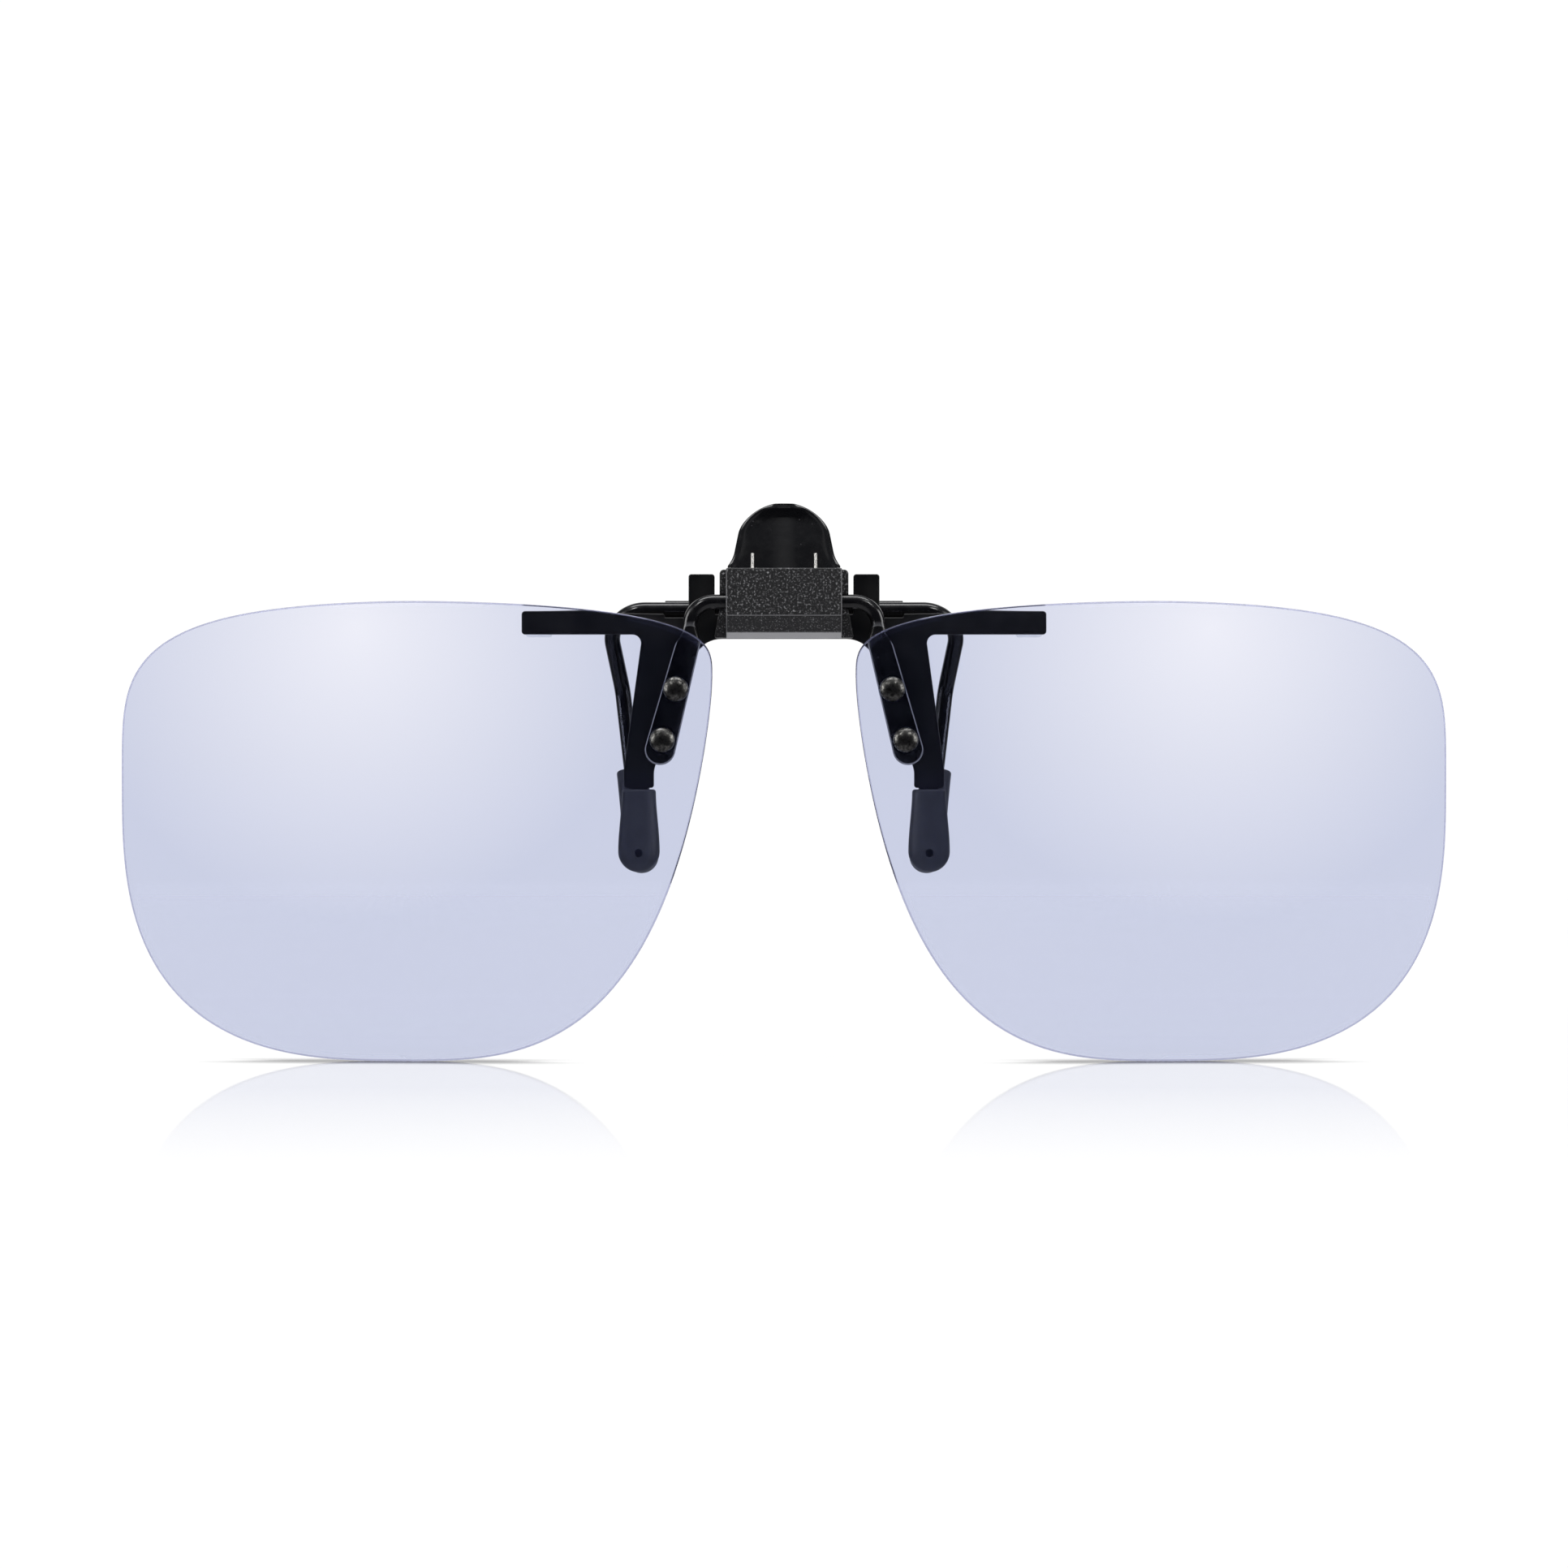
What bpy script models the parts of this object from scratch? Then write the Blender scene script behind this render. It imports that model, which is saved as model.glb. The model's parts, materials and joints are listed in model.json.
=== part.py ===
"""Clip-on flip lenses: two tinted lenses that hang on a spring clip and flip up in front of spectacles.

Frame: X runs across the face, Z is up and the front of the lenses looks along -Y. The origin is on the
mid-plane, in the middle of the front jaw plate's thickness and level with the pivot of the rear jaw.

Two things move. The bridge wire turns in the housing and carries both lenses up. The rear jaw wire turns
in the plate's hooks, is opened by the thumb lever and is closed by a double torsion spring.

All named sizes are millimetres. The meshes are scaled to metres when they are made.
"""

import math

import bmesh
import bpy
from mathutils import Matrix, Vector

MM = 0.001
SIDES = {"left": -1, "right": 1}

# Clearances
GAP = 0.05  # between pieces that rest on each other or are glued, riveted or pushed together
RUNNING_GAP = 0.08  # between a turning wire and its seat
SPRING_GAP = 0.25  # around the torsion spring's coils

# Lenses: spherical, and tangent to the paddles at the rivets
LENS_WIDTH = 61.15
LENS_HEIGHT = 47.4
LENS_THICKNESS = 1.3
LENS_RADIUS = 330.0
LENS_INNER_X = 7.35
LENS_TOP_Z = 0.76
LENS_EDGE_BEVEL = 0.18
LENS_FACET_SAG = 0.0225  # how far a flat facet may stand off the curve, inside the washers' clearance

# The lens outline: where it touches its box, as shares of the right-hand lens's width and height, and the
# powers of the four quarter curves between, each given at its two ends, clockwise from the top
# measured from the inner top corner of its box
LENS_TOP_AT = 0.51
LENS_TEMPLE_AT = 0.41
LENS_BOTTOM_AT = 0.53
LENS_NOSE_AT = 0.165
LENS_QUARTER_POWERS = ((2.2, 4.6), (2.8, 2.8), (3.0, 1.7), (3.4, 2.0))
LENS_QUARTER_POINTS = 15

# Bridge wire, which is also the flip axle, and the paddles pressed flat at its ends
FLIP_WIRE = 1.5
FLIP_Z = 0.71
FLIP_BEND = 2.45
FLIP_DROP_X = 9.7
PADDLE_TOP_Z = -2.9
PADDLE_LEAN = math.radians(14.7)
PADDLE_LENGTH = 13.6
PADDLE_NECK_WIDTH = 2.45
PADDLE_END_WIDTH = 3.25
PADDLE_THICKNESS = 0.8
CAM_SIDE = 1.36
CAM_LENGTH = 2.6

# Rivets and their clear washers, placed along the paddle
RIVET_PLACES = {"upper": 5.6, "lower": 11.0}
RIVET_HEAD = 2.6
RIVET_HEAD_HEIGHT = 0.75
RIVET_SHANK = 1.2
RIVET_TAIL = 2.0
RIVET_TAIL_HEIGHT = 0.45
WASHER = 2.9
WASHER_THICKNESS = 0.25

# Front jaw plate, stamped and bent from sheet
PLATE = 0.9
PLATE_EDGE_BEVEL = 0.1
BAR_TOP_Z = -0.5
BAR_BOTTOM_Z = -3.05
POST_INNER_X = 7.18
POST_WIDTH = 2.7
POST_TOP_Z = 3.65
NOTCH_WIDTH = 2.5
NOTCH_DEPTH = 0.38
ARM_X = 27.1
ARM_TOP_Z = -0.46
ARM_END_TOP_Z = -0.2
ARM_BOTTOM_Z = -2.62
ARCH_X = 8.7
ARCH_FILLET = 3.2
LEG_ROOT_X = 14.65
LEG_FOOT_X = 15.0
LEG_FOOT_WIDTH = 3.1
LEG_FOOT_Z = -18.45
LEG_KNEE_Z = -16.6
TONGUE_WIDTH = 2.0
TONGUE_LENGTH = 5.8
HOOK_WALL = 0.8
HOOK_END = math.radians(38)

# Clear pads behind the ends of the arms
PAD_X = 25.35
PAD_WIDTH = 2.7
PAD_HEIGHT = 2.3
PAD_THICKNESS = 1.2
PAD_DROP = 0.25
PAD_EDGE_BEVEL = 0.25

# Soft tips of the front jaw
FRONT_TIP_TOP_Z = -18.6
FRONT_TIP_LENGTH = 8.6
FRONT_TIP_WIDTHS = (3.5, 4.3)
FRONT_TIP_DEPTHS = (2.4, 2.9)
VENT = 0.85
VENT_DEPTH = 0.6
VENT_HEIGHT = 2.0

# Rear jaw wire and its soft tips
JAW_WIRE = 1.65
JAW_BEND = 3.4
JAW_CORNER_X = 18.5
JAW_KINK = (16.85, -8.3)
JAW_KINK_DEPTH = 4.35
JAW_KINK_BEND = 3.0
JAW_END = (14.75, -26.0)
REAR_TIP_LENGTH = 10.9
REAR_TIP_WIDTHS = (3.2, 3.5)
REAR_TIP_OVER_WIRE = 1.3
GRIP_GAP = 0.15

# Double torsion spring around the rear jaw wire
SPRING_WIRE = 0.36
SPRING_TURNS = 4
SPRING_PITCH = 0.42
SPRING_LEG_X = 3.3
SPRING_LEG_LENGTH = 7.1
BAIL_TURN = math.radians(55)
BAIL_BEND = 0.5

# Thumb lever: two hubs on the rear jaw wire and a scooped tab that leans back
LEVER_LEAN = math.radians(24)
HUB_INNER_X = 4.0
HUB_OUTER_X = 5.6
HUB_WALL = 0.75
TAB_ROOT_Z = 0.9
TAB_TOP_Z = 11.2
TAB_THICKNESS = 1.3
TAB_CURL = 0.6
TAB_LIP = 0.55
# The tab's sides as half-widths, at shares of its height: heel, sweep into tapered sides, elliptical top
TAB_ROOT_X = 5.6
TAB_HEEL_X = 5.9
TAB_HEEL_SHARE = 0.34
TAB_SIDE_X = 5.2
TAB_SIDE_SHARE = 0.49
TAB_SIDE_TAPER = 2.0
TAB_DOME_SHARE = 0.68
TAB_DOME_TURN = math.radians(70)

# Housing: a base against the plate and a cover, parted on the flip axis
BASE_X = 6.64
BASE_FOOT_X = 7.2
BASE_TOP_Z = 4.03
BASE_SHOULDER_Z = 1.4
BASE_WALL = 0.8
COVER_X = 5.96
COVER_TOP_Z = 4.1
COVER_DEPTH = 2.8
COVER_WALL = 1.0
CHAMFER_TOP_Z = -0.76
CHAMFER_FOOT_Z = -2.44
CHAMFER_DEPTH = 1.35
HOUSING_FOOT_Z = -3.0
CAVITY_X = 4.6
CAVITY_TOP_Z = 2.7
CAVITY_FOOT_Z = -1.2
HOUSING_EDGE_BEVEL = 0.12

# Detent leaf, bowed between the base's wall and the cam
LEAF_THICKNESS = 0.22
LEAF_BOW = 0.7
LEAF_WIDTH = 2.2
LEAF_CREST = 1.4

# Screws from behind, through the plate and the base into the cover
SCREW_X = 4.4
SCREW_Z = -2.15
SCREW_SHANK = 0.8
SCREW_HEAD = 1.5
SCREW_HEAD_HEIGHT = 0.42
SCREW_REACH = 1.2
SLOT_WIDTH = 0.25
SLOT_DEPTH = 0.2

# Depths that follow from the sizes above. Front is negative.
CAM_RADIUS = CAM_SIDE / 2 * 2**0.25
PLATE_FRONT = -PLATE / 2
PLATE_BACK = PLATE / 2
BASE_BACK = PLATE_FRONT - GAP
CAVITY_BACK = BASE_BACK - BASE_WALL
FLIP_Y = CAVITY_BACK - GAP - LEAF_BOW - LEAF_THICKNESS - GAP - CAM_RADIUS
COVER_FRONT = FLIP_Y - COVER_DEPTH
PADDLE_FRONT = FLIP_Y - FLIP_WIRE / 2
PADDLE_BACK = PADDLE_FRONT + PADDLE_THICKNESS
LENS_BACK = PADDLE_FRONT - GAP - WASHER_THICKNESS - GAP
LENS_FRONT = LENS_BACK - LENS_THICKNESS
COIL_RADIUS = JAW_WIRE / 2 + SPRING_GAP / 1.5 + SPRING_WIRE / 2
JAW_Y = PLATE_BACK + SPRING_GAP + COIL_RADIUS + SPRING_WIRE / 2
REAR_TIP_Y = FRONT_TIP_DEPTHS[1] / 2 + GRIP_GAP + REAR_TIP_WIDTHS[1] / 2
SOCKET_WIDTH = TONGUE_WIDTH + 2 * GAP
SOCKET_DEPTH = PLATE + 2 * GAP


def material(name, colour, roughness, metallic=0.0, transmission=0.0):
    """A Principled material with the piece's own colour and finish."""
    made = bpy.data.materials.new(name)
    made.use_nodes = True
    shader = made.node_tree.nodes["Principled BSDF"]
    shader.inputs["Base Color"].default_value = (*colour, 1.0)
    shader.inputs["Roughness"].default_value = roughness
    shader.inputs["Metallic"].default_value = metallic
    shader.inputs["Transmission Weight"].default_value = transmission
    return made


def object_from(name, bm, finish, axis=None):
    """Makes the object of one sub-part, in metres, under its joint's empty where it moves."""
    bmesh.ops.recalc_face_normals(bm, faces=bm.faces)
    offset = axis.location if axis else Vector((0, 0, 0))
    bmesh.ops.transform(bm, matrix=Matrix.Translation(-offset) @ Matrix.Scale(MM, 4), verts=bm.verts)
    mesh = bpy.data.meshes.new(name)
    bm.to_mesh(mesh)
    bm.free()
    mesh.shade_smooth()
    mesh.set_sharp_from_angle(angle=math.radians(35))
    made = bpy.data.objects.new(name, mesh)
    bpy.context.scene.collection.objects.link(made)
    if finish:
        mesh.materials.append(finish)
    made.parent = axis
    return made


def joint_axis(name, y, z):
    """An empty on a hinge's axis, which the pieces of that moving body hang on."""
    empty = bpy.data.objects.new(name, None)
    empty.empty_display_size = 10 * MM
    empty.location = (0, y * MM, z * MM)
    bpy.context.scene.collection.objects.link(empty)
    return empty


def join_with(target, tool, operation):
    """Adds a Boolean of a hidden tool object to the target."""
    tool.hide_render = True
    tool.display_type = "WIRE"
    modifier = target.modifiers.new(tool.name, "BOOLEAN")
    modifier.operation = operation
    modifier.object = tool


def bevel(target, width, angle=40):
    """Breaks the sharp edges of a piece."""
    modifier = target.modifiers.new("edges", "BEVEL")
    modifier.width = width * MM
    modifier.segments = 1
    modifier.limit_method = "ANGLE"
    modifier.angle_limit = math.radians(angle)


def add_loft(bm, rings):
    """Skins closed rings of points, and caps both ends."""
    loops = [[bm.verts.new(point) for point in ring] for ring in rings]
    for near, far in zip(loops, loops[1:]):
        for i in range(len(near)):
            j = (i + 1) % len(near)
            bm.faces.new((near[i], near[j], far[j], far[i]))
    bm.faces.new(loops[0])
    bm.faces.new(reversed(loops[-1]))


def loft(rings):
    bm = bmesh.new()
    add_loft(bm, rings)
    return bm


def slab(outline, start, end):
    """A flat outline in X and Z, from one depth to another."""
    return loft([[Vector((x, y, z)) for x, z in outline] for y in (start, end)])


def box(low, high):
    """A box between two corners."""
    bm = bmesh.new()
    bmesh.ops.create_cube(bm, size=1)
    low, high = Vector(low), Vector(high)
    scale = Matrix.Diagonal((*(high - low), 1))
    bmesh.ops.transform(bm, matrix=Matrix.Translation((low + high) / 2) @ scale, verts=bm.verts)
    return bm


def ring_points(centre, across, up, half_across, half_up, sides, power=2.0):
    """A closed ring: an ellipse at power 2, and squarer as the power rises."""
    points = []
    for i in range(sides):
        angle = 2 * math.pi * i / sides
        c, s = math.cos(angle), math.sin(angle)
        a = math.copysign(abs(c) ** (2 / power), c) * half_across
        b = math.copysign(abs(s) ** (2 / power), s) * half_up
        points.append(centre + across * a + up * b)
    return points


def turned(profile, centre, axis, sides):
    """A turned piece: (radius, distance along the axis) pairs from end to end, all off the axis."""
    across = axis.orthogonal().normalized()
    up = axis.cross(across)
    return loft([ring_points(centre + axis * along, across, up, r, r, sides) for r, along in profile])


def rounded_path(corners, closed=False, step=math.radians(18)):
    """Runs through the corners, each a (point, radius), with an arc of that radius at each of them."""
    path = []
    count = len(corners)
    for i, (corner, radius) in enumerate(corners):
        if radius == 0 or (not closed and i in (0, count - 1)):
            path.append(corner.copy())
            continue
        back = (corners[i - 1][0] - corner).normalized()
        ahead = (corners[(i + 1) % count][0] - corner).normalized()
        half = back.angle(ahead) / 2
        turn = math.pi - 2 * half
        centre = corner + (back + ahead).normalized() * radius / math.sin(half)
        start = corner + back * radius / math.tan(half) - centre
        end = corner + ahead * radius / math.tan(half) - centre
        steps = max(1, round(turn / step))
        for k in range(steps + 1):
            share = k / steps
            weight = math.sin((1 - share) * turn), math.sin(share * turn)
            path.append(centre + (start * weight[0] + end * weight[1]) / math.sin(turn))
    return path


def rounded_outline(corners):
    """A closed outline in X and Z from (x, z, radius) corners."""
    path = rounded_path([(Vector((x, 0, z)), radius) for x, z, radius in corners], closed=True)
    return [(point.x, point.z) for point in path]


def mirrored(half):
    """A right-hand half outline and its mirror image, as one outline that is even about the mid-plane."""
    return half + [(-x, z) for x, z in reversed(half)]


def wire_rings(path, radius, sides):
    """Rings of round wire along a path, turned as little as possible from one to the next."""
    rings = []
    up = None
    for i, point in enumerate(path):
        before = path[max(i - 1, 0)]
        after = path[min(i + 1, len(path) - 1)]
        along = (after - before).normalized()
        up = along.orthogonal() if up is None else up - along * up.dot(along)
        up.normalize()
        rings.append(ring_points(point, up.cross(along), up, radius, radius, sides))
    return rings


def paddle_point(along, side):
    """A point on a paddle's middle line, at a distance from its top."""
    x = FLIP_DROP_X + math.sin(PADDLE_LEAN) * along
    z = PADDLE_TOP_Z - math.cos(PADDLE_LEAN) * along
    return Vector((side * x, FLIP_Y, z))


def rivet_hole(place, side, start, end, diameter):
    """A round cutter through the lens and paddle at one rivet."""
    centre = paddle_point(RIVET_PLACES[place], side)
    centre.y = 0
    radius = diameter / 2
    return turned([(radius, start), (radius, end)], centre, Vector((0, 1, 0)), 16)


def lens_shares():
    """Points on the lens outline, clockwise from its top, as shares of its width and height."""
    places = ((LENS_TOP_AT, 0.0), (1.0, LENS_TEMPLE_AT), (LENS_BOTTOM_AT, 1.0), (0.0, LENS_NOSE_AT))
    shares = []
    for i, (start_power, end_power) in enumerate(LENS_QUARTER_POWERS):
        (x0, z0), (x1, z1) = places[i], places[(i + 1) % 4]
        middle_x, middle_z = (x0, z1) if i % 2 == 0 else (x1, z0)
        for k in range(LENS_QUARTER_POINTS):
            way = k / LENS_QUARTER_POINTS
            power = start_power + (end_power - start_power) * way
            near, far = math.cos(math.pi / 2 * way), math.sin(math.pi / 2 * way)
            reach = (near**power + far**power) ** (-1 / power)
            x = middle_x + ((x0 - middle_x) * near + (x1 - middle_x) * far) * reach
            z = middle_z + ((z0 - middle_z) * near + (z1 - middle_z) * far) * reach
            shares.append((x, z))
    return shares


def make_lens(name, side, finish, axis):
    """A spherical tinted lens with a narrow bevel round its edge and a hole for each rivet."""
    vertex = (paddle_point(RIVET_PLACES["upper"], side) + paddle_point(RIVET_PLACES["lower"], side)) / 2
    outline = [
        Vector((side * (LENS_INNER_X + u * LENS_WIDTH), LENS_TOP_Z - v * LENS_HEIGHT))
        for u, v in lens_shares()
    ]
    middle = Vector((side * (LENS_INNER_X + LENS_WIDTH / 2), LENS_TOP_Z - LENS_HEIGHT / 2))

    def ring(share, inset, depth):
        points = []
        for point in outline:
            ray = point - middle
            flat = middle + ray * share - ray.normalized() * inset
            sag = ((flat.x - vertex.x) ** 2 + (flat.y - vertex.z) ** 2) / (2 * LENS_RADIUS)
            points.append(Vector((flat.x, LENS_FRONT + depth + sag, flat.y)))
        return points

    widest_facet = math.sqrt(8 * LENS_RADIUS * LENS_FACET_SAG)
    rings = math.ceil(max(LENS_WIDTH, LENS_HEIGHT) / 2 / widest_facet)
    shares = [k / rings for k in range(1, rings + 1)]
    front = [ring(share, LENS_EDGE_BEVEL if share == 1 else 0, 0) for share in shares]
    back = [ring(share, LENS_EDGE_BEVEL if share == 1 else 0, LENS_THICKNESS) for share in shares]
    edge = [ring(1, 0, LENS_EDGE_BEVEL), ring(1, 0, LENS_THICKNESS - LENS_EDGE_BEVEL)]
    lens = object_from(name, loft(front + edge + back[::-1]), finish, axis)
    for place in RIVET_PLACES:
        cutter = rivet_hole(place, side, LENS_FRONT - 1, LENS_BACK + 1, RIVET_SHANK + 2 * GAP)
        join_with(lens, object_from(f"{name}_{place}_hole", cutter, None, axis), "DIFFERENCE")


def make_rivet(name, place, side, finish, axis):
    """A rivet with a domed head in front of the lens and a flat tail behind the paddle."""
    front = LENS_FRONT - GAP
    back = PADDLE_BACK + GAP
    head, shank, tail = RIVET_HEAD / 2, RIVET_SHANK / 2, RIVET_TAIL / 2
    steps = 5
    dome = []
    for k in range(1, steps + 1):
        angle = math.pi / 2 * k / steps
        dome.append((head * math.sin(angle), front - RIVET_HEAD_HEIGHT * math.cos(angle)))
    stem = [(shank, front), (shank, back), (tail, back), (tail, back + RIVET_TAIL_HEIGHT * 0.6)]
    profile = dome + stem + [(tail * 0.7, back + RIVET_TAIL_HEIGHT)]
    centre = paddle_point(RIVET_PLACES[place], side)
    centre.y = 0
    object_from(name, turned(profile, centre, Vector((0, 1, 0)), 16), finish, axis)


def make_washer(name, place, side, finish, axis):
    """A clear washer between the lens and the paddle."""
    back = PADDLE_FRONT - GAP
    front = back - WASHER_THICKNESS
    centre = paddle_point(RIVET_PLACES[place], side)
    centre.y = 0
    radius = WASHER / 2
    disc = turned([(radius, front), (radius, back)], centre, Vector((0, 1, 0)), 20)
    washer = object_from(name, disc, finish, axis)
    cutter = rivet_hole(place, side, front - 1, back + 1, RIVET_SHANK + 2 * GAP)
    join_with(washer, object_from(f"{name}_hole", cutter, None, axis), "DIFFERENCE")


def bridge_half(side):
    """Rings of one half of the bridge wire, from its square cam in the middle out to the paddle's end."""
    sides = 16
    depth = Vector((0, 1, 0))
    across = Vector((0, 0, 1))
    radius = FLIP_WIRE / 2
    cam = CAM_SIDE / 2
    rings = []
    for x, half, power in ((0, cam, 4), (CAM_LENGTH / 2, cam, 4), (CAM_LENGTH / 2 + 0.5, radius, 2)):
        centre = Vector((side * x, FLIP_Y, FLIP_Z))
        rings.append(ring_points(centre, depth, across, half, half, sides, power))
    end = paddle_point(PADDLE_LENGTH, side)
    path = rounded_path(
        [
            (Vector((side * (CAM_LENGTH / 2 + 1), FLIP_Y, FLIP_Z)), 0),
            (Vector((side * FLIP_DROP_X, FLIP_Y, FLIP_Z)), FLIP_BEND),
            (Vector((side * FLIP_DROP_X, FLIP_Y, PADDLE_TOP_Z)), 2.0),
            (end, 0),
        ]
    )
    lean = Vector((side * math.sin(PADDLE_LEAN), 0, -math.cos(PADDLE_LEAN)))
    for share in (0.3, 0.6, 1.0):
        path.insert(-1, path[-2].lerp(end, share) if share < 1 else end - lean * PADDLE_END_WIDTH / 2)
    for angle in (30, 55, 75):
        path.insert(-1, path[-1] - lean * PADDLE_END_WIDTH / 2 * (1 - math.sin(math.radians(angle))))
    path.pop()
    neck_top = FLIP_Z - FLIP_BEND
    for i, point in enumerate(path):
        along = (path[min(i + 1, len(path) - 1)] - path[max(i - 1, 0)]).normalized()
        down = (point - paddle_point(0, side)).dot(lean)
        flat = min(max((neck_top - point.z) / (neck_top - PADDLE_TOP_Z + 1.2), 0), 1)
        widening = min(max(down / PADDLE_LENGTH, 0), 1)
        wide = PADDLE_NECK_WIDTH + (PADDLE_END_WIDTH - PADDLE_NECK_WIDTH) * widening
        half_wide = (FLIP_WIRE + (wide - FLIP_WIRE) * flat) / 2
        half_deep = (FLIP_WIRE + (PADDLE_THICKNESS - FLIP_WIRE) * flat) / 2
        to_end = PADDLE_LENGTH - down
        if to_end < PADDLE_END_WIDTH / 2:
            half_wide *= math.sqrt(1 - (1 - 2 * to_end / PADDLE_END_WIDTH) ** 2)
        flush = Vector((point.x, PADDLE_FRONT + half_deep, point.z))
        width_way = depth.cross(along) * side
        rings.append(ring_points(flush, depth, width_way, half_deep, half_wide, sides, 2 + 3 * flat))
    return rings


def make_bridge_wire(name, finish, axis):
    """One wire: round through the housing's seats, square at the detent, and flat where the lenses hang."""
    left = bridge_half(-1)
    right = bridge_half(1)
    wire = object_from(name, loft(left[:0:-1] + right), finish, axis)
    for side_name, side in SIDES.items():
        for place in RIVET_PLACES:
            cutter = rivet_hole(place, side, PADDLE_FRONT - 1, PADDLE_BACK + 1, RIVET_SHANK + 2 * GAP)
            tool = object_from(f"{name}_{side_name}_{place}_hole", cutter, None, axis)
            join_with(wire, tool, "DIFFERENCE")


def plate_half():
    """The right-hand half of the plate's flat outline, from the bar's top round to its bottom."""
    post_outer = POST_INNER_X + POST_WIDTH
    foot = LEG_FOOT_WIDTH / 2
    tongue = TONGUE_WIDTH / 2
    tongue_end = LEG_FOOT_Z - TONGUE_LENGTH
    corners = [
        (0, BAR_TOP_Z, 0),
        (POST_INNER_X, BAR_TOP_Z, 0.15),
        (POST_INNER_X, POST_TOP_Z, 0.3),
        (post_outer, POST_TOP_Z, 0.3),
        (post_outer, ARM_TOP_Z - NOTCH_DEPTH, 0.15),
        (post_outer + NOTCH_WIDTH, ARM_TOP_Z - NOTCH_DEPTH, 0.15),
        (post_outer + NOTCH_WIDTH, ARM_TOP_Z, 0.15),
        (ARM_X, ARM_END_TOP_Z, 0.35),
        (ARM_X, ARM_BOTTOM_Z, 0.35),
        (LEG_ROOT_X, ARM_BOTTOM_Z, 0.9),
        (LEG_FOOT_X + foot, LEG_KNEE_Z, 2.5),
        (LEG_FOOT_X + foot, LEG_FOOT_Z, 0.3),
        (LEG_FOOT_X + tongue, LEG_FOOT_Z, 0),
        (LEG_FOOT_X + tongue, tongue_end, 0.6),
        (LEG_FOOT_X - tongue, tongue_end, 0.6),
        (LEG_FOOT_X - tongue, LEG_FOOT_Z, 0),
        (LEG_FOOT_X - foot, LEG_FOOT_Z, 0.3),
        (LEG_FOOT_X - foot, LEG_KNEE_Z, 2.5),
        (ARCH_X, BAR_BOTTOM_Z, ARCH_FILLET),
        (0, BAR_BOTTOM_Z, 0),
    ]
    return rounded_outline(corners)


def make_plate(name, finish):
    """The front jaw: bar, arms, legs and posts in one stamping, with two hooks bent back round the wire."""
    plate = object_from(name, slab(plate_outline(), PLATE_FRONT, PLATE_BACK), finish)
    for side_name, side in SIDES.items():
        join_with(plate, object_from(f"{name}_{side_name}_hook", hook(side), None), "UNION")
        screw = screw_hole(side, PLATE_FRONT - 1, PLATE_BACK + 1, SCREW_SHANK + 2 * RUNNING_GAP)
        join_with(plate, object_from(f"{name}_{side_name}_screw_hole", screw, None), "DIFFERENCE")
    bevel(plate, PLATE_EDGE_BEVEL)


def hook(side):
    """A strip bent back from the notch, under the rear wire and up behind it."""
    inner = JAW_WIRE / 2 + RUNNING_GAP
    outer = inner + HOOK_WALL
    steps = 12
    turns = [-math.pi / 2 + (HOOK_END + math.pi / 2) * k / steps for k in range(steps + 1)]
    under = [(JAW_Y + outer * math.cos(turn), outer * math.sin(turn)) for turn in turns]
    over = [(JAW_Y + inner * math.cos(turn), inner * math.sin(turn)) for turn in reversed(turns)]
    profile = [(0, -outer)] + under + over + [(0, -inner)]
    start = POST_INNER_X + POST_WIDTH
    stretch = (side * start, side * (start + NOTCH_WIDTH))
    return loft([[Vector((x, y, z)) for y, z in profile] for x in stretch])


def plate_outline():
    """The whole outline: the half without its two points on the mid-plane, and its mirror image."""
    half = plate_half()
    return mirrored(half[1:-1])


def screw_hole(side, start, end, diameter):
    """A round cutter on one housing screw's axis."""
    radius = diameter / 2
    centre = Vector((side * SCREW_X, 0, SCREW_Z))
    return turned([(radius, start), (radius, end)], centre, Vector((0, 1, 0)), 16)


def make_pad(name, side, finish):
    """A clear pad glued behind the arm's end, standing a little below it."""
    bottom = ARM_BOTTOM_Z - PAD_DROP
    front = PLATE_BACK + GAP
    low = (side * PAD_X - PAD_WIDTH / 2, front, bottom)
    high = (side * PAD_X + PAD_WIDTH / 2, front + PAD_THICKNESS, bottom + PAD_HEIGHT)
    bevel(object_from(name, box(low, high), finish), PAD_EDGE_BEVEL)


def cap_rings(top, down, across, widths, depths, length, sides=16):
    """Rings of a soft cap: a rounded mouth, a body that swells and a round end."""
    deep = across.cross(down)
    end = widths[1] / 2
    straight = length - end
    lip = 0.2
    stations = [(0, 0, lip), (lip, 0, 0), (straight / 2, 0.5, 0), (straight, 1, 0)]
    rings = []
    for along, swell, inset in stations:
        half_wide = (widths[0] + (widths[1] - widths[0]) * swell) / 2 - inset
        half_deep = (depths[0] + (depths[1] - depths[0]) * swell) / 2 - inset
        rings.append(ring_points(top + down * along, across, deep, half_wide, half_deep, sides, 2.3))
    for angle in (20, 40, 60, 80):
        share = math.cos(math.radians(angle))
        along = straight + end * math.sin(math.radians(angle))
        half_wide, half_deep = widths[1] / 2 * share, depths[1] / 2 * share
        rings.append(ring_points(top + down * along, across, deep, half_wide, half_deep, sides, 2.3))
    return rings


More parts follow.
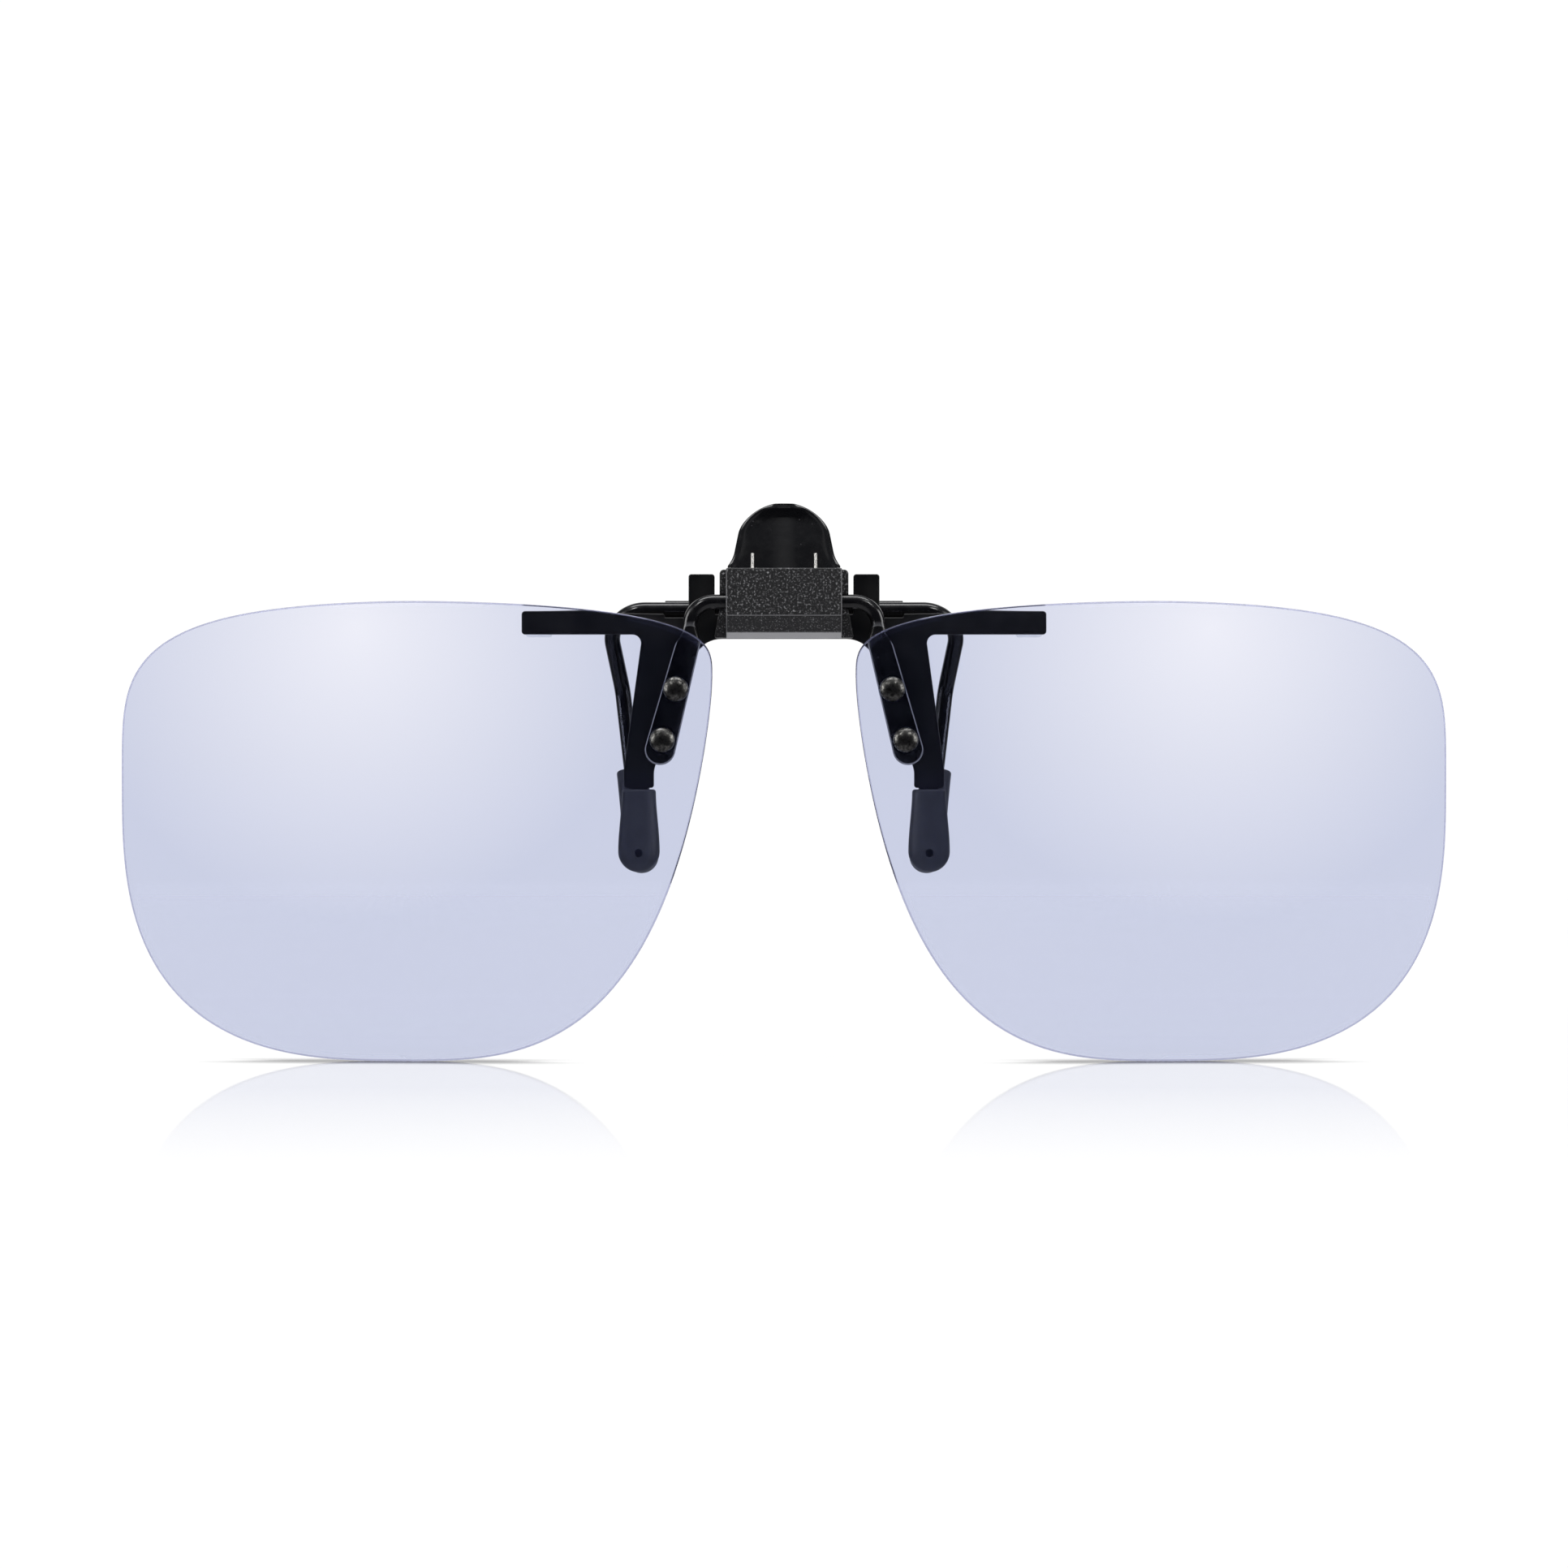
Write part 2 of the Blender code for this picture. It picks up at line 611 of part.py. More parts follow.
def make_front_tip(name, side, finish):
    """A soft cap on the plate's tongue, with a small vent in its front."""
    top = Vector((side * LEG_FOOT_X, 0, FRONT_TIP_TOP_Z))
    rings = cap_rings(
        top, Vector((0, 0, -1)), Vector((1, 0, 0)), FRONT_TIP_WIDTHS, FRONT_TIP_DEPTHS, FRONT_TIP_LENGTH
    )
    tip = object_from(name, loft(rings), finish)
    foot = LEG_FOOT_Z - TONGUE_LENGTH - GAP
    low = (top.x - SOCKET_WIDTH / 2, -SOCKET_DEPTH / 2, foot)
    high = (top.x + SOCKET_WIDTH / 2, SOCKET_DEPTH / 2, FRONT_TIP_TOP_Z + 1)
    join_with(tip, object_from(f"{name}_socket", box(low, high), None), "DIFFERENCE")
    height = FRONT_TIP_TOP_Z - FRONT_TIP_LENGTH + VENT_HEIGHT
    skin = -FRONT_TIP_DEPTHS[1] / 2
    vent = [(VENT / 2, skin - 1), (VENT / 2, skin + VENT_DEPTH)]
    cutter = turned(vent, Vector((top.x, 0, height)), Vector((0, 1, 0)), 12)
    join_with(tip, object_from(f"{name}_vent", cutter, None), "DIFFERENCE")


def jaw_points(side):
    """The rear wire's kink and end on one side."""
    kink = Vector((side * JAW_KINK[0], JAW_Y + JAW_KINK_DEPTH, JAW_KINK[1]))
    end = Vector((side * JAW_END[0], REAR_TIP_Y, JAW_END[1]))
    return kink, end


def make_rear_wire(name, finish, axis):
    """One bent wire: a straight run that turns in the plate's hooks, and a bowed leg at each end."""
    corners = []
    for side in (-1, 1):
        kink, end = jaw_points(side)
        half = [
            (end, 0),
            (kink, JAW_KINK_BEND),
            (Vector((side * JAW_CORNER_X, JAW_Y, 0)), JAW_BEND),
        ]
        corners += half if side < 0 else half[::-1]
    rings = wire_rings(rounded_path(corners), JAW_WIRE / 2, 16)
    object_from(name, loft(rings), finish, axis)


def make_rear_tip(name, side, finish, axis):
    """A soft round cap pushed over the end of the rear wire."""
    kink, end = jaw_points(side)
    down = (end - kink).normalized()
    top = end + down * (REAR_TIP_OVER_WIRE - REAR_TIP_LENGTH)
    across = Vector((1, 0, 0))
    across = (across - down * across.dot(down)).normalized()
    rings = cap_rings(top, down, across, REAR_TIP_WIDTHS, REAR_TIP_WIDTHS, REAR_TIP_LENGTH)
    tip = object_from(name, loft(rings), finish, axis)
    reach = (end - top).length + GAP
    radius = JAW_WIRE / 2 + GAP
    socket = turned([(radius, -1), (radius, reach)], top, down, 16)
    join_with(tip, object_from(f"{name}_socket", socket, None, axis), "DIFFERENCE")


def spring_half(side):
    """The middle line of half the torsion spring: leg, coils and half the bail, for one side."""

    def on_coil(x, turn):
        return Vector((side * x, JAW_Y + COIL_RADIUS * math.cos(turn), COIL_RADIUS * math.sin(turn)))

    start = -LEVER_LEAN
    finish = -BAIL_TURN - 2 * math.pi * SPRING_TURNS
    steps = 10 * SPRING_TURNS
    leg = on_coil(SPRING_LEG_X, start) + Vector((0, math.sin(LEVER_LEAN), math.cos(LEVER_LEAN))) * SPRING_LEG_LENGTH
    path = [leg]
    turned_through = (start - finish) / (2 * math.pi)
    for k in range(steps + 1):
        share = k / steps
        x = SPRING_LEG_X - SPRING_PITCH * turned_through * share
        path.append(on_coil(x, start + (finish - start) * share))
    coil_end = path[-1]
    forward = Vector((0, -math.sin(BAIL_TURN), -math.cos(BAIL_TURN)))
    rest = PLATE_BACK + GAP + SPRING_WIRE / 2
    corner = coil_end + forward * (coil_end.y - rest) / math.sin(BAIL_TURN)
    bail = rounded_path([(coil_end, 0), (corner, BAIL_BEND), (Vector((0, corner.y, corner.z)), 0)])
    return path + bail[1:-1]


def make_jaw_spring(name, finish):
    """A double torsion spring round the rear wire: two legs on the lever and a bail on the plate."""
    path = spring_half(-1) + spring_half(1)[::-1]
    object_from(name, loft(wire_rings(path, SPRING_WIRE / 2, 6)), finish)


def hull_between(x_low, x_high, circles):
    """The hull of (y, z, radius) circles, between two planes across X."""
    bm = bmesh.new()
    for x in (x_low, x_high):
        for y, z, radius in circles:
            for point in ring_points(Vector((x, y, z)), Vector((0, 1, 0)), Vector((0, 0, 1)), radius, radius, 20):
                bm.verts.new(point)
    bmesh.ops.convex_hull(bm, input=bm.verts)
    return bm


def tab_half_width(share):
    """Half the tab's width at a share of its height: flared heel, sweep, tapered side, then an elliptical top."""
    side = TAB_SIDE_X - TAB_SIDE_TAPER * (share - TAB_SIDE_SHARE)
    if share <= TAB_HEEL_SHARE:
        return TAB_ROOT_X + (TAB_HEEL_X - TAB_ROOT_X) * share / TAB_HEEL_SHARE
    if share < TAB_SIDE_SHARE:
        span = TAB_SIDE_SHARE - TAB_HEEL_SHARE
        flare = TAB_HEEL_X - TAB_SIDE_X - TAB_SIDE_TAPER * span
        return side + flare * ((TAB_SIDE_SHARE - share) / span) ** 2
    rise = max(0, (share - TAB_DOME_SHARE) / (1 - TAB_DOME_SHARE))
    return side * math.sqrt(1 - rise**2)


def tab_shares():
    """The heights of the tab's rings, as shares: closer in the sweep, and by even angles round the top."""
    sweep = [TAB_HEEL_SHARE + (TAB_SIDE_SHARE - TAB_HEEL_SHARE) * k / 3 for k in range(4)]
    dome = [TAB_DOME_SHARE + (1 - TAB_DOME_SHARE) * math.sin(TAB_DOME_TURN * k / 6) for k in range(7)]
    return [0, TAB_HEEL_SHARE / 2] + sweep + dome


def make_thumb_lever(name, finish, axis):
    """A scooped tab that leans back behind the housing, on two hubs round the rear wire."""
    back = Vector((0, math.cos(LEVER_LEAN), -math.sin(LEVER_LEAN)))
    across = Vector((1, 0, 0))
    widest = TAB_ROOT_X
    leg_curl = TAB_CURL * (SPRING_LEG_X / widest) ** 2
    face = COIL_RADIUS + SPRING_WIRE / 2 + GAP + leg_curl
    middle = face + TAB_THICKNESS / 2
    rings = []
    for share in tab_shares():
        half_wide = tab_half_width(share)
        z = TAB_ROOT_Z + (TAB_TOP_Z - TAB_ROOT_Z) * share
        lip = TAB_LIP * max(0, (share - 0.7) / 0.3) ** 2
        half_deep = TAB_THICKNESS / 2 * (1 if share < 0.8 else 0.8)
        centre = Vector((0, JAW_Y + (middle / math.cos(LEVER_LEAN)) + z * math.tan(LEVER_LEAN), z))
        ring = []
        for point in ring_points(centre, across, back, half_wide, half_deep, 28, 3.0):
            curl = TAB_CURL * (point.x / widest) ** 2 + lip
            ring.append(point - back * curl)
        rings.append(ring)
    lever = object_from(name, loft(rings), finish, axis)
    hole = JAW_WIRE / 2 + GAP
    root_z = TAB_ROOT_Z + 2.2
    root = (JAW_Y + middle / math.cos(LEVER_LEAN) + root_z * math.tan(LEVER_LEAN) - TAB_CURL, root_z, 0.5)
    for side_name, side in SIDES.items():
        hub = hull_between(side * HUB_INNER_X, side * HUB_OUTER_X, [(JAW_Y, 0, hole + HUB_WALL), root])
        join_with(lever, object_from(f"{name}_{side_name}_hub", hub, None, axis), "UNION")
    reach = HUB_OUTER_X + 1
    bore = turned([(hole, -reach), (hole, reach)], Vector((0, JAW_Y, 0)), across, 24)
    join_with(lever, object_from(f"{name}_bore", bore, None, axis), "DIFFERENCE")


def flip_seat(reach):
    """A cutter along the flip axis for the bridge wire's seats."""
    radius = FLIP_WIRE / 2 + RUNNING_GAP
    centre = Vector((0, FLIP_Y, FLIP_Z))
    return turned([(radius, -reach), (radius, reach)], centre, Vector((1, 0, 0)), 24)


def make_housing_base(name, finish):
    """The rear shell: it sits against the plate, and its cheeks stand out beside the cover."""
    half = rounded_outline(
        [
            (0, BASE_TOP_Z, 0),
            (BASE_X, BASE_TOP_Z, 0.45),
            (BASE_X, BASE_SHOULDER_Z - FLIP_WIRE, 0),
            (BASE_FOOT_X, HOUSING_FOOT_Z, 0),
            (0, HOUSING_FOOT_Z, 0),
        ]
    )
    front = FLIP_Y + GAP / 2
    base = object_from(name, slab(mirrored(half[1:-1]), front, BASE_BACK), finish)
    low = (-CAVITY_X, front - 1, CAVITY_FOOT_Z)
    cavity = box(low, (CAVITY_X, CAVITY_BACK, CAVITY_TOP_Z))
    join_with(base, object_from(f"{name}_cavity", cavity, None), "DIFFERENCE")
    join_with(base, object_from(f"{name}_seat", flip_seat(BASE_FOOT_X + 1), None), "DIFFERENCE")
    for side_name, side in SIDES.items():
        hole = screw_hole(side, front - 1, BASE_BACK + 1, SCREW_SHANK + 2 * GAP)
        join_with(base, object_from(f"{name}_{side_name}_hole", hole, None), "DIFFERENCE")
    bevel(base, HOUSING_EDGE_BEVEL)


def make_housing_cover(name, finish):
    """The front shell: a flat grained face over a chamfer and a narrow sloping foot."""
    back = FLIP_Y - GAP / 2
    step_back = COVER_FRONT + CHAMFER_DEPTH
    side_profile = [
        (COVER_FRONT, COVER_TOP_Z),
        (COVER_FRONT, CHAMFER_TOP_Z),
        (step_back, CHAMFER_FOOT_Z),
        (back, HOUSING_FOOT_Z),
        (back, COVER_TOP_Z),
    ]
    shell = loft([[Vector((x, y, z)) for y, z in side_profile] for x in (-COVER_X, COVER_X)])
    cover = object_from(name, shell, finish)
    low = (-CAVITY_X, COVER_FRONT + COVER_WALL, CAVITY_FOOT_Z)
    cavity = box(low, (CAVITY_X, back + 1, CAVITY_TOP_Z))
    join_with(cover, object_from(f"{name}_cavity", cavity, None), "DIFFERENCE")
    join_with(cover, object_from(f"{name}_seat", flip_seat(COVER_X + 1), None), "DIFFERENCE")
    for side_name, side in SIDES.items():
        hole = screw_hole(side, back - SCREW_REACH - GAP, back + 1, SCREW_SHANK + 2 * GAP)
        join_with(cover, object_from(f"{name}_{side_name}_hole", hole, None), "DIFFERENCE")
    bevel(cover, HOUSING_EDGE_BEVEL)


def make_detent_leaf(name, finish):
    """A bowed leaf spring that bears on the cam's flats."""
    end = CAVITY_X - GAP
    low, high = CAVITY_BACK - GAP, CAVITY_BACK - GAP - LEAF_BOW
    corners = [
        (Vector((-end, low, 0)), 0),
        (Vector((-LEAF_CREST, high, 0)), 2.0),
        (Vector((LEAF_CREST, high, 0)), 2.0),
        (Vector((end, low, 0)), 0),
    ]
    rear = rounded_path(corners)
    front = [point - Vector((0, LEAF_THICKNESS, 0)) for point in reversed(rear)]
    rings = []
    for z in (FLIP_Z - LEAF_WIDTH / 2, FLIP_Z + LEAF_WIDTH / 2):
        rings.append([point + Vector((0, 0, z)) for point in rear + front])
    object_from(name, loft(rings), finish)


def make_screw(name, side, finish):
    """A slotted screw from behind the plate into the cover."""
    seat = PLATE_BACK + GAP
    head = SCREW_HEAD / 2
    shank = SCREW_SHANK / 2
    end = FLIP_Y - GAP / 2 - SCREW_REACH
    profile = [
        (shank * 0.5, end),
        (shank, end + 0.3),
        (shank, seat),
        (head, seat),
        (head, seat + SCREW_HEAD_HEIGHT * 0.6),
        (head * 0.75, seat + SCREW_HEAD_HEIGHT),
    ]
    centre = Vector((side * SCREW_X, 0, SCREW_Z))
    screw = object_from(name, turned(profile, centre, Vector((0, 1, 0)), 16), finish)
    low = (centre.x - SLOT_WIDTH / 2, seat + SCREW_HEAD_HEIGHT - SLOT_DEPTH, centre.z - SCREW_HEAD)
    high = (centre.x + SLOT_WIDTH / 2, seat + SCREW_HEAD_HEIGHT + 1, centre.z + SCREW_HEAD)
    join_with(screw, object_from(f"{name}_slot", box(low, high), None), "DIFFERENCE")


def main():
    for old in list(bpy.data.objects):
        bpy.data.objects.remove(old)

    tint = material("tinted_polycarbonate", (0.6, 0.63, 0.8), 0.03, transmission=0.9)
    clear = material("clear_silicone", (0.85, 0.87, 0.88), 0.2, transmission=0.8)
    coated_steel = material("black_coated_steel", (0.012, 0.012, 0.013), 0.3, metallic=0.6)
    bare_steel = material("spring_steel", (0.6, 0.6, 0.58), 0.25, metallic=1.0)
    gunmetal = material("gunmetal_rivet", (0.12, 0.115, 0.11), 0.35, metallic=1.0)
    grained = material("grained_plastic", (0.03, 0.03, 0.032), 0.6)
    gloss = material("gloss_plastic", (0.01, 0.01, 0.011), 0.15)
    rubber = material("black_rubber", (0.015, 0.017, 0.025), 0.55)

    flip_axis = joint_axis("flip_axis", FLIP_Y, FLIP_Z)
    jaw_axis = joint_axis("jaw_axis", JAW_Y, 0)

    make_plate("front_jaw_plate", coated_steel)
    make_housing_base("housing_base", grained)
    make_housing_cover("housing_cover", grained)
    make_detent_leaf("flip_detent_leaf", bare_steel)
    make_bridge_wire("lens_bridge_wire", coated_steel, flip_axis)
    make_rear_wire("rear_jaw_wire", coated_steel, jaw_axis)
    make_thumb_lever("thumb_lever", gloss, jaw_axis)
    make_jaw_spring("jaw_spring", bare_steel)
    for side_name, side in SIDES.items():
        make_screw(f"housing_screw_{side_name}", side, bare_steel)
        make_pad(f"arm_pad_{side_name}", side, clear)
        make_front_tip(f"front_tip_{side_name}", side, rubber)
        make_rear_tip(f"rear_tip_{side_name}", side, rubber, jaw_axis)
        make_lens(f"lens_{side_name}", side, tint, flip_axis)
        for place in RIVET_PLACES:
            make_rivet(f"rivet_{place}_{side_name}", place, side, gunmetal, flip_axis)
            make_washer(f"washer_{place}_{side_name}", place, side, clear, flip_axis)


main()
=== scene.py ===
"""Clip-on flip lenses, in the order they are put together: the stamped front jaw and its housing, the bridge
wire with the two lenses riveted to it, then the rear jaw with its soft tips, thumb lever and spring.

Lengths are millimetres while a piece is shaped, and become metres when its mesh is made.
"""

import json
import math

import bmesh
import bpy
from mathutils import Matrix, Vector


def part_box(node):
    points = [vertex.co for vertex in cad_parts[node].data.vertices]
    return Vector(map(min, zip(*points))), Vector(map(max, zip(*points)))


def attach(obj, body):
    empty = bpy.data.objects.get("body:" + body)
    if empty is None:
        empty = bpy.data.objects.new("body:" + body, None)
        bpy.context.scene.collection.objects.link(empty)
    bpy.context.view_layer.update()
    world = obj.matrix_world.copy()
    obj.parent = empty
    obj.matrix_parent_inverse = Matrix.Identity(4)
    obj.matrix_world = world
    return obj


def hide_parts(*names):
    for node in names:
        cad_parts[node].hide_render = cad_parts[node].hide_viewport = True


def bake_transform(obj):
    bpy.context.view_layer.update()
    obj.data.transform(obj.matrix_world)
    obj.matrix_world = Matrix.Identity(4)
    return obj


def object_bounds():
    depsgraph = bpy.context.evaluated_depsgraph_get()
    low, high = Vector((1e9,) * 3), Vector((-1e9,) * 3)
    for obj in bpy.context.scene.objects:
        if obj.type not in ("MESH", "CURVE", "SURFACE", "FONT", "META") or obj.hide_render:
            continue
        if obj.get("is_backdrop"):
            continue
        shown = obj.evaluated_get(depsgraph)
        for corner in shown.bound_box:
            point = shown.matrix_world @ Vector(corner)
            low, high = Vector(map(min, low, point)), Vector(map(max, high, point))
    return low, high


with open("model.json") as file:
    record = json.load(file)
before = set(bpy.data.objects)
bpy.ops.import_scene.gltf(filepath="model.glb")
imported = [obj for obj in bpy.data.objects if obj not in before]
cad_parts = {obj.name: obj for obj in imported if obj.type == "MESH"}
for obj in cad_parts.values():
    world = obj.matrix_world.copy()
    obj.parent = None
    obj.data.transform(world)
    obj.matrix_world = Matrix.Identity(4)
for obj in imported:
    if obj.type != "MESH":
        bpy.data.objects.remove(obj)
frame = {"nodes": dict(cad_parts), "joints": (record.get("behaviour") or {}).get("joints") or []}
cad_low, cad_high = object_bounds()

# ---------------------------------------------------------------- The studio
# A white acrylic sheet under a white sweep, evenly lit from all round. It mirrors a little at a low angle, and
# a painted contact shadow darkens its colour where something stands close over it. A broad softbox overhead,
# two round lamps beside the camera and three strips are there only to be mirrored, and black cloth keeps the
# rest out of the gloss.
MM = 0.001
SWEEP = 1.03
FLOOR_ALBEDO = 0.97
AMBIENT = 0.65
OVERHEAD_TILT = math.radians(16)
MIRROR_SHARE = 0.6
MIRROR_FADE = (55 * MM, 185 * MM)
CONTACT_REACH = 14 * MM
SHEET_ENDS = (300 * MM, 1200 * MM)


def linear(shade):
    """An sRGB hex colour as linear RGBA."""
    channels = [int(shade[i : i + 2], 16) / 255 for i in (1, 3, 5)]
    return (*[c / 12.92 if c <= 0.04045 else ((c + 0.055) / 1.055) ** 2.4 for c in channels], 1.0)


def add_node(tree, kind, settings=None, inputs=None):
    """Adds a node with its settings, and sets or links its inputs, each by name or by number."""
    node = tree.nodes.new(kind)
    for name, value in (settings or {}).items():
        setattr(node, name, value)
    for name, value in (inputs or {}).items():
        if isinstance(value, bpy.types.NodeSocket):
            tree.links.new(value, node.inputs[name])
        else:
            node.inputs[name].default_value = value
    return node


def add_to_scene(name, data):
    """An object at the origin that holds this mesh, lamp or camera."""
    made = bpy.data.objects.new(name, data)
    bpy.context.scene.collection.objects.link(made)
    return made


def aimed(name, data, azimuth, elevation, distance):
    """Places a lamp on a sphere round the object, azimuth 0 in front and 90 on the right, facing the middle."""
    a, e = math.radians(azimuth), math.radians(elevation)
    out = Vector((math.sin(a) * math.cos(e), -math.cos(a) * math.cos(e), math.sin(e)))
    made = add_to_scene(name, data)
    made.matrix_world = Matrix.Translation(out * distance) @ out.to_track_quat("Z", "Y").to_matrix().to_4x4()
    return made


sweep = bpy.data.worlds.new("white_sweep")
bpy.context.scene.world = sweep
sweep.use_nodes = True
tree = sweep.node_tree
tree.nodes.clear()
ray = add_node(tree, "ShaderNodeLightPath").outputs
toward = add_node(
    tree, "ShaderNodeSeparateXYZ", inputs={0: add_node(tree, "ShaderNodeTexCoord").outputs["Generated"]}
).outputs
after_matt = add_node(
    tree, "ShaderNodeMath", {"operation": "GREATER_THAN"}, {0: ray["Diffuse Depth"], 1: 0.5}
)
after_gloss = add_node(
    tree, "ShaderNodeMath", {"operation": "GREATER_THAN"}, {0: ray["Glossy Depth"], 1: 0.5}
)
brightness = add_node(
    tree, "ShaderNodeMapRange", inputs={"Value": after_matt.outputs[0], "To Min": SWEEP, "To Max": AMBIENT}
)
behind = add_node(
    tree, "ShaderNodeMapRange", {"interpolation_type": "SMOOTHSTEP"},
    {"Value": toward["Y"], "From Min": 0.5, "From Max": 0.85},
)
above = add_node(
    tree, "ShaderNodeMapRange", {"interpolation_type": "SMOOTHSTEP"},
    {"Value": toward["Z"], "From Min": 0.5, "From Max": 1.0},
)
below = add_node(
    tree, "ShaderNodeMapRange", {"interpolation_type": "SMOOTHSTEP"},
    {"Value": toward["Z"], "From Min": -0.35, "From Max": -0.7},
)
dark_room = add_node(
    tree, "ShaderNodeMix", {"data_type": "RGBA"},
    {0: above.outputs[0], 6: linear("#191c28"), 7: linear("#74767e")},
)
lit_table = add_node(
    tree, "ShaderNodeMix", {"data_type": "RGBA"},
    {0: below.outputs[0], 6: dark_room.outputs[2], 7: linear("#a8a8ac")},
)
mirrored = add_node(
    tree, "ShaderNodeMix", {"data_type": "RGBA"},
    {0: behind.outputs[0], 6: lit_table.outputs[2], 7: (SWEEP, SWEEP, SWEEP, 1)},
)
seen = add_node(
    tree, "ShaderNodeBackground", inputs={"Color": (1, 1, 1, 1), "Strength": brightness.outputs[0]}
)
reflected = add_node(tree, "ShaderNodeBackground", inputs={"Color": mirrored.outputs[2]})
room = add_node(
    tree, "ShaderNodeMixShader",
    inputs={0: after_gloss.outputs[0], 1: seen.outputs[0], 2: reflected.outputs[0]},
)
add_node(tree, "ShaderNodeOutputWorld", inputs={0: room.outputs[0]})

overhead = bpy.data.lights.new("overhead_lamp", "SUN")
overhead.angle = math.radians(42)
overhead.energy = (SWEEP / FLOOR_ALBEDO - AMBIENT) * math.pi / math.cos(OVERHEAD_TILT)
overhead.use_shadow = False
broad_light = aimed("overhead_lamp", overhead, 0, 90 - math.degrees(OVERHEAD_TILT), 1.0)
broad_light.visible_glossy = False

for name, azimuth, elevation, width, height, radiance in (
    ("overhead_softbox", 0, 84, 0.9, 0.32, 5.0), ("round_lamp_left", -33, 40, 0.15, 0.15, 11.0),
    ("round_lamp_right", 33, 40, 0.15, 0.15, 11.0), ("edge_strip_left", -74, 12, 0.45, 0.6, 4.0),
    ("edge_strip_right", 74, 12, 0.45, 0.6, 4.0), ("narrow_front_strip", 0, 47, 0.07, 0.3, 0.3),
):
    lamp = bpy.data.lights.new(name, "AREA")
    lamp.shape = "ELLIPSE" if width == height else "RECTANGLE"
    lamp.size, lamp.size_y = width, height
    lamp.energy = radiance * math.pi * width * height
    placed = aimed(name, lamp, azimuth, elevation, 0.8)
    placed.visible_camera = False
    placed.visible_diffuse = False

sheet_size = 3.0
sheet = bpy.data.meshes.new("white_acrylic_sheet")
sheet.from_pydata(
    [(x * sheet_size, y * sheet_size, cad_low.z) for x, y in ((-1, -1), (1, -1), (1, 1), (-1, 1))], [],
    [(0, 1, 2, 3)],
)
floor = add_to_scene("white_acrylic_sheet", sheet)
acrylic = bpy.data.materials.new("white_acrylic_gloss")
acrylic.use_nodes = True
tree = acrylic.node_tree
tree.nodes.clear()
place = add_node(
    tree, "ShaderNodeSeparateXYZ", inputs={0: add_node(tree, "ShaderNodeTexCoord").outputs["Object"]}
)
depth = add_node(tree, "ShaderNodeMath", {"operation": "ABSOLUTE"}, {0: place.outputs["Y"]})
fade = add_node(
    tree, "ShaderNodeMapRange",
    inputs={"Value": depth.outputs[0], 1: MIRROR_FADE[0], 2: MIRROR_FADE[1], 3: MIRROR_SHARE, 4: 0.0},
)
# Painted contact shadow: ambient occlusion within the reach darkens the sheet's colour under whatever stands
# close over it.
open_sky = add_node(tree, "ShaderNodeAmbientOcclusion", {"samples": 64}, {"Distance": CONTACT_REACH})
painted_contact_shadow = add_node(
    tree, "ShaderNodeMapRange", {"interpolation_type": "SMOOTHSTEP"},
    {"Value": open_sky.outputs["AO"], 1: 0.5, 2: 0.84, 3: 0.02, 4: FLOOR_ALBEDO},
)
grazing = add_node(tree, "ShaderNodeFresnel", inputs={"IOR": 1.2})
share = add_node(
    tree, "ShaderNodeMath", {"operation": "MULTIPLY"}, {0: fade.outputs[0], 1: grazing.outputs[0]}
)
matt = add_node(tree, "ShaderNodeBsdfDiffuse", inputs={"Color": painted_contact_shadow.outputs[0]})
gloss = add_node(tree, "ShaderNodeBsdfAnisotropic", inputs={"Color": (1, 1, 1, 1), "Roughness": 0.03})
both = add_node(
    tree, "ShaderNodeMixShader", inputs={0: share.outputs[0], 1: matt.outputs[0], 2: gloss.outputs[0]}
)
from_middle = add_node(
    tree, "ShaderNodeVectorMath", {"operation": "LENGTH"},
    {0: add_node(tree, "ShaderNodeTexCoord").outputs["Object"]},
)
ends = add_node(
    tree, "ShaderNodeMapRange", {"interpolation_type": "SMOOTHSTEP"},
    {"Value": from_middle.outputs["Value"], 1: SHEET_ENDS[0], 2: SHEET_ENDS[1]},
)
away = add_node(tree, "ShaderNodeBsdfTransparent")
faded = add_node(
    tree, "ShaderNodeMixShader", inputs={0: ends.outputs[0], 1: both.outputs[0], 2: away.outputs[0]}
)
add_node(tree, "ShaderNodeOutputMaterial", inputs={0: faded.outputs[0]})
sheet.materials.append(acrylic)
floor.visible_glossy = False
floor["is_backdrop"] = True

VIEW_WIDTH = 162.3
VIEW_MIDDLE_Z = -18.06
long_lens = bpy.data.cameras.new("long_lens")
long_lens.lens = 135
long_lens.sensor_width = 36
camera = add_to_scene("long_lens", long_lens)
stand_off = VIEW_WIDTH * long_lens.lens / long_lens.sensor_width
camera.location = (0, -stand_off * MM, VIEW_MIDDLE_Z * MM)
camera.rotation_euler = (math.radians(90), 0, 0)
bpy.context.scene.camera = camera
bpy.context.scene.view_settings.view_transform = "Standard"

# ---------------------------------------------------------------- Front jaw plate
# One stamping of 0.9 mm spring steel: a bar with two posts, two arms, and two legs that the soft tips go on.
# A strip is bent back from each arm into a hook that holds the rear wire. All of it is dipped and e-coated.
SIDES = {"left": -1, "right": 1}
JAW_AXIS, FLIP_AXIS = (
    Vector(next(j["pos_m"] for j in frame["joints"] if j["name"] == name)) / MM
    for name in ("jaw_open", "lens_flip")
)
PLATE = 0.9
PLATE_EDGE = 0.1
ARM_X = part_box("front_jaw_plate")[1].x / MM
POST_TOP_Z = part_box("front_jaw_plate")[1].z / MM
TONGUE_FOOT_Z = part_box("front_jaw_plate")[0].z / MM
POST_INNER_X = 7.18
POST_OUTER_X = 9.88
NOTCH_OUTER_X = 12.38
NOTCH_Z = -0.84
ARM_TOP_Z = -0.46
ARM_BOTTOM_Z = -2.62
LEG_X = 15.0
LEG_HALF_WIDTH = 1.55
LEG_FOOT_Z = -18.45
JAW_WIRE = 1.65
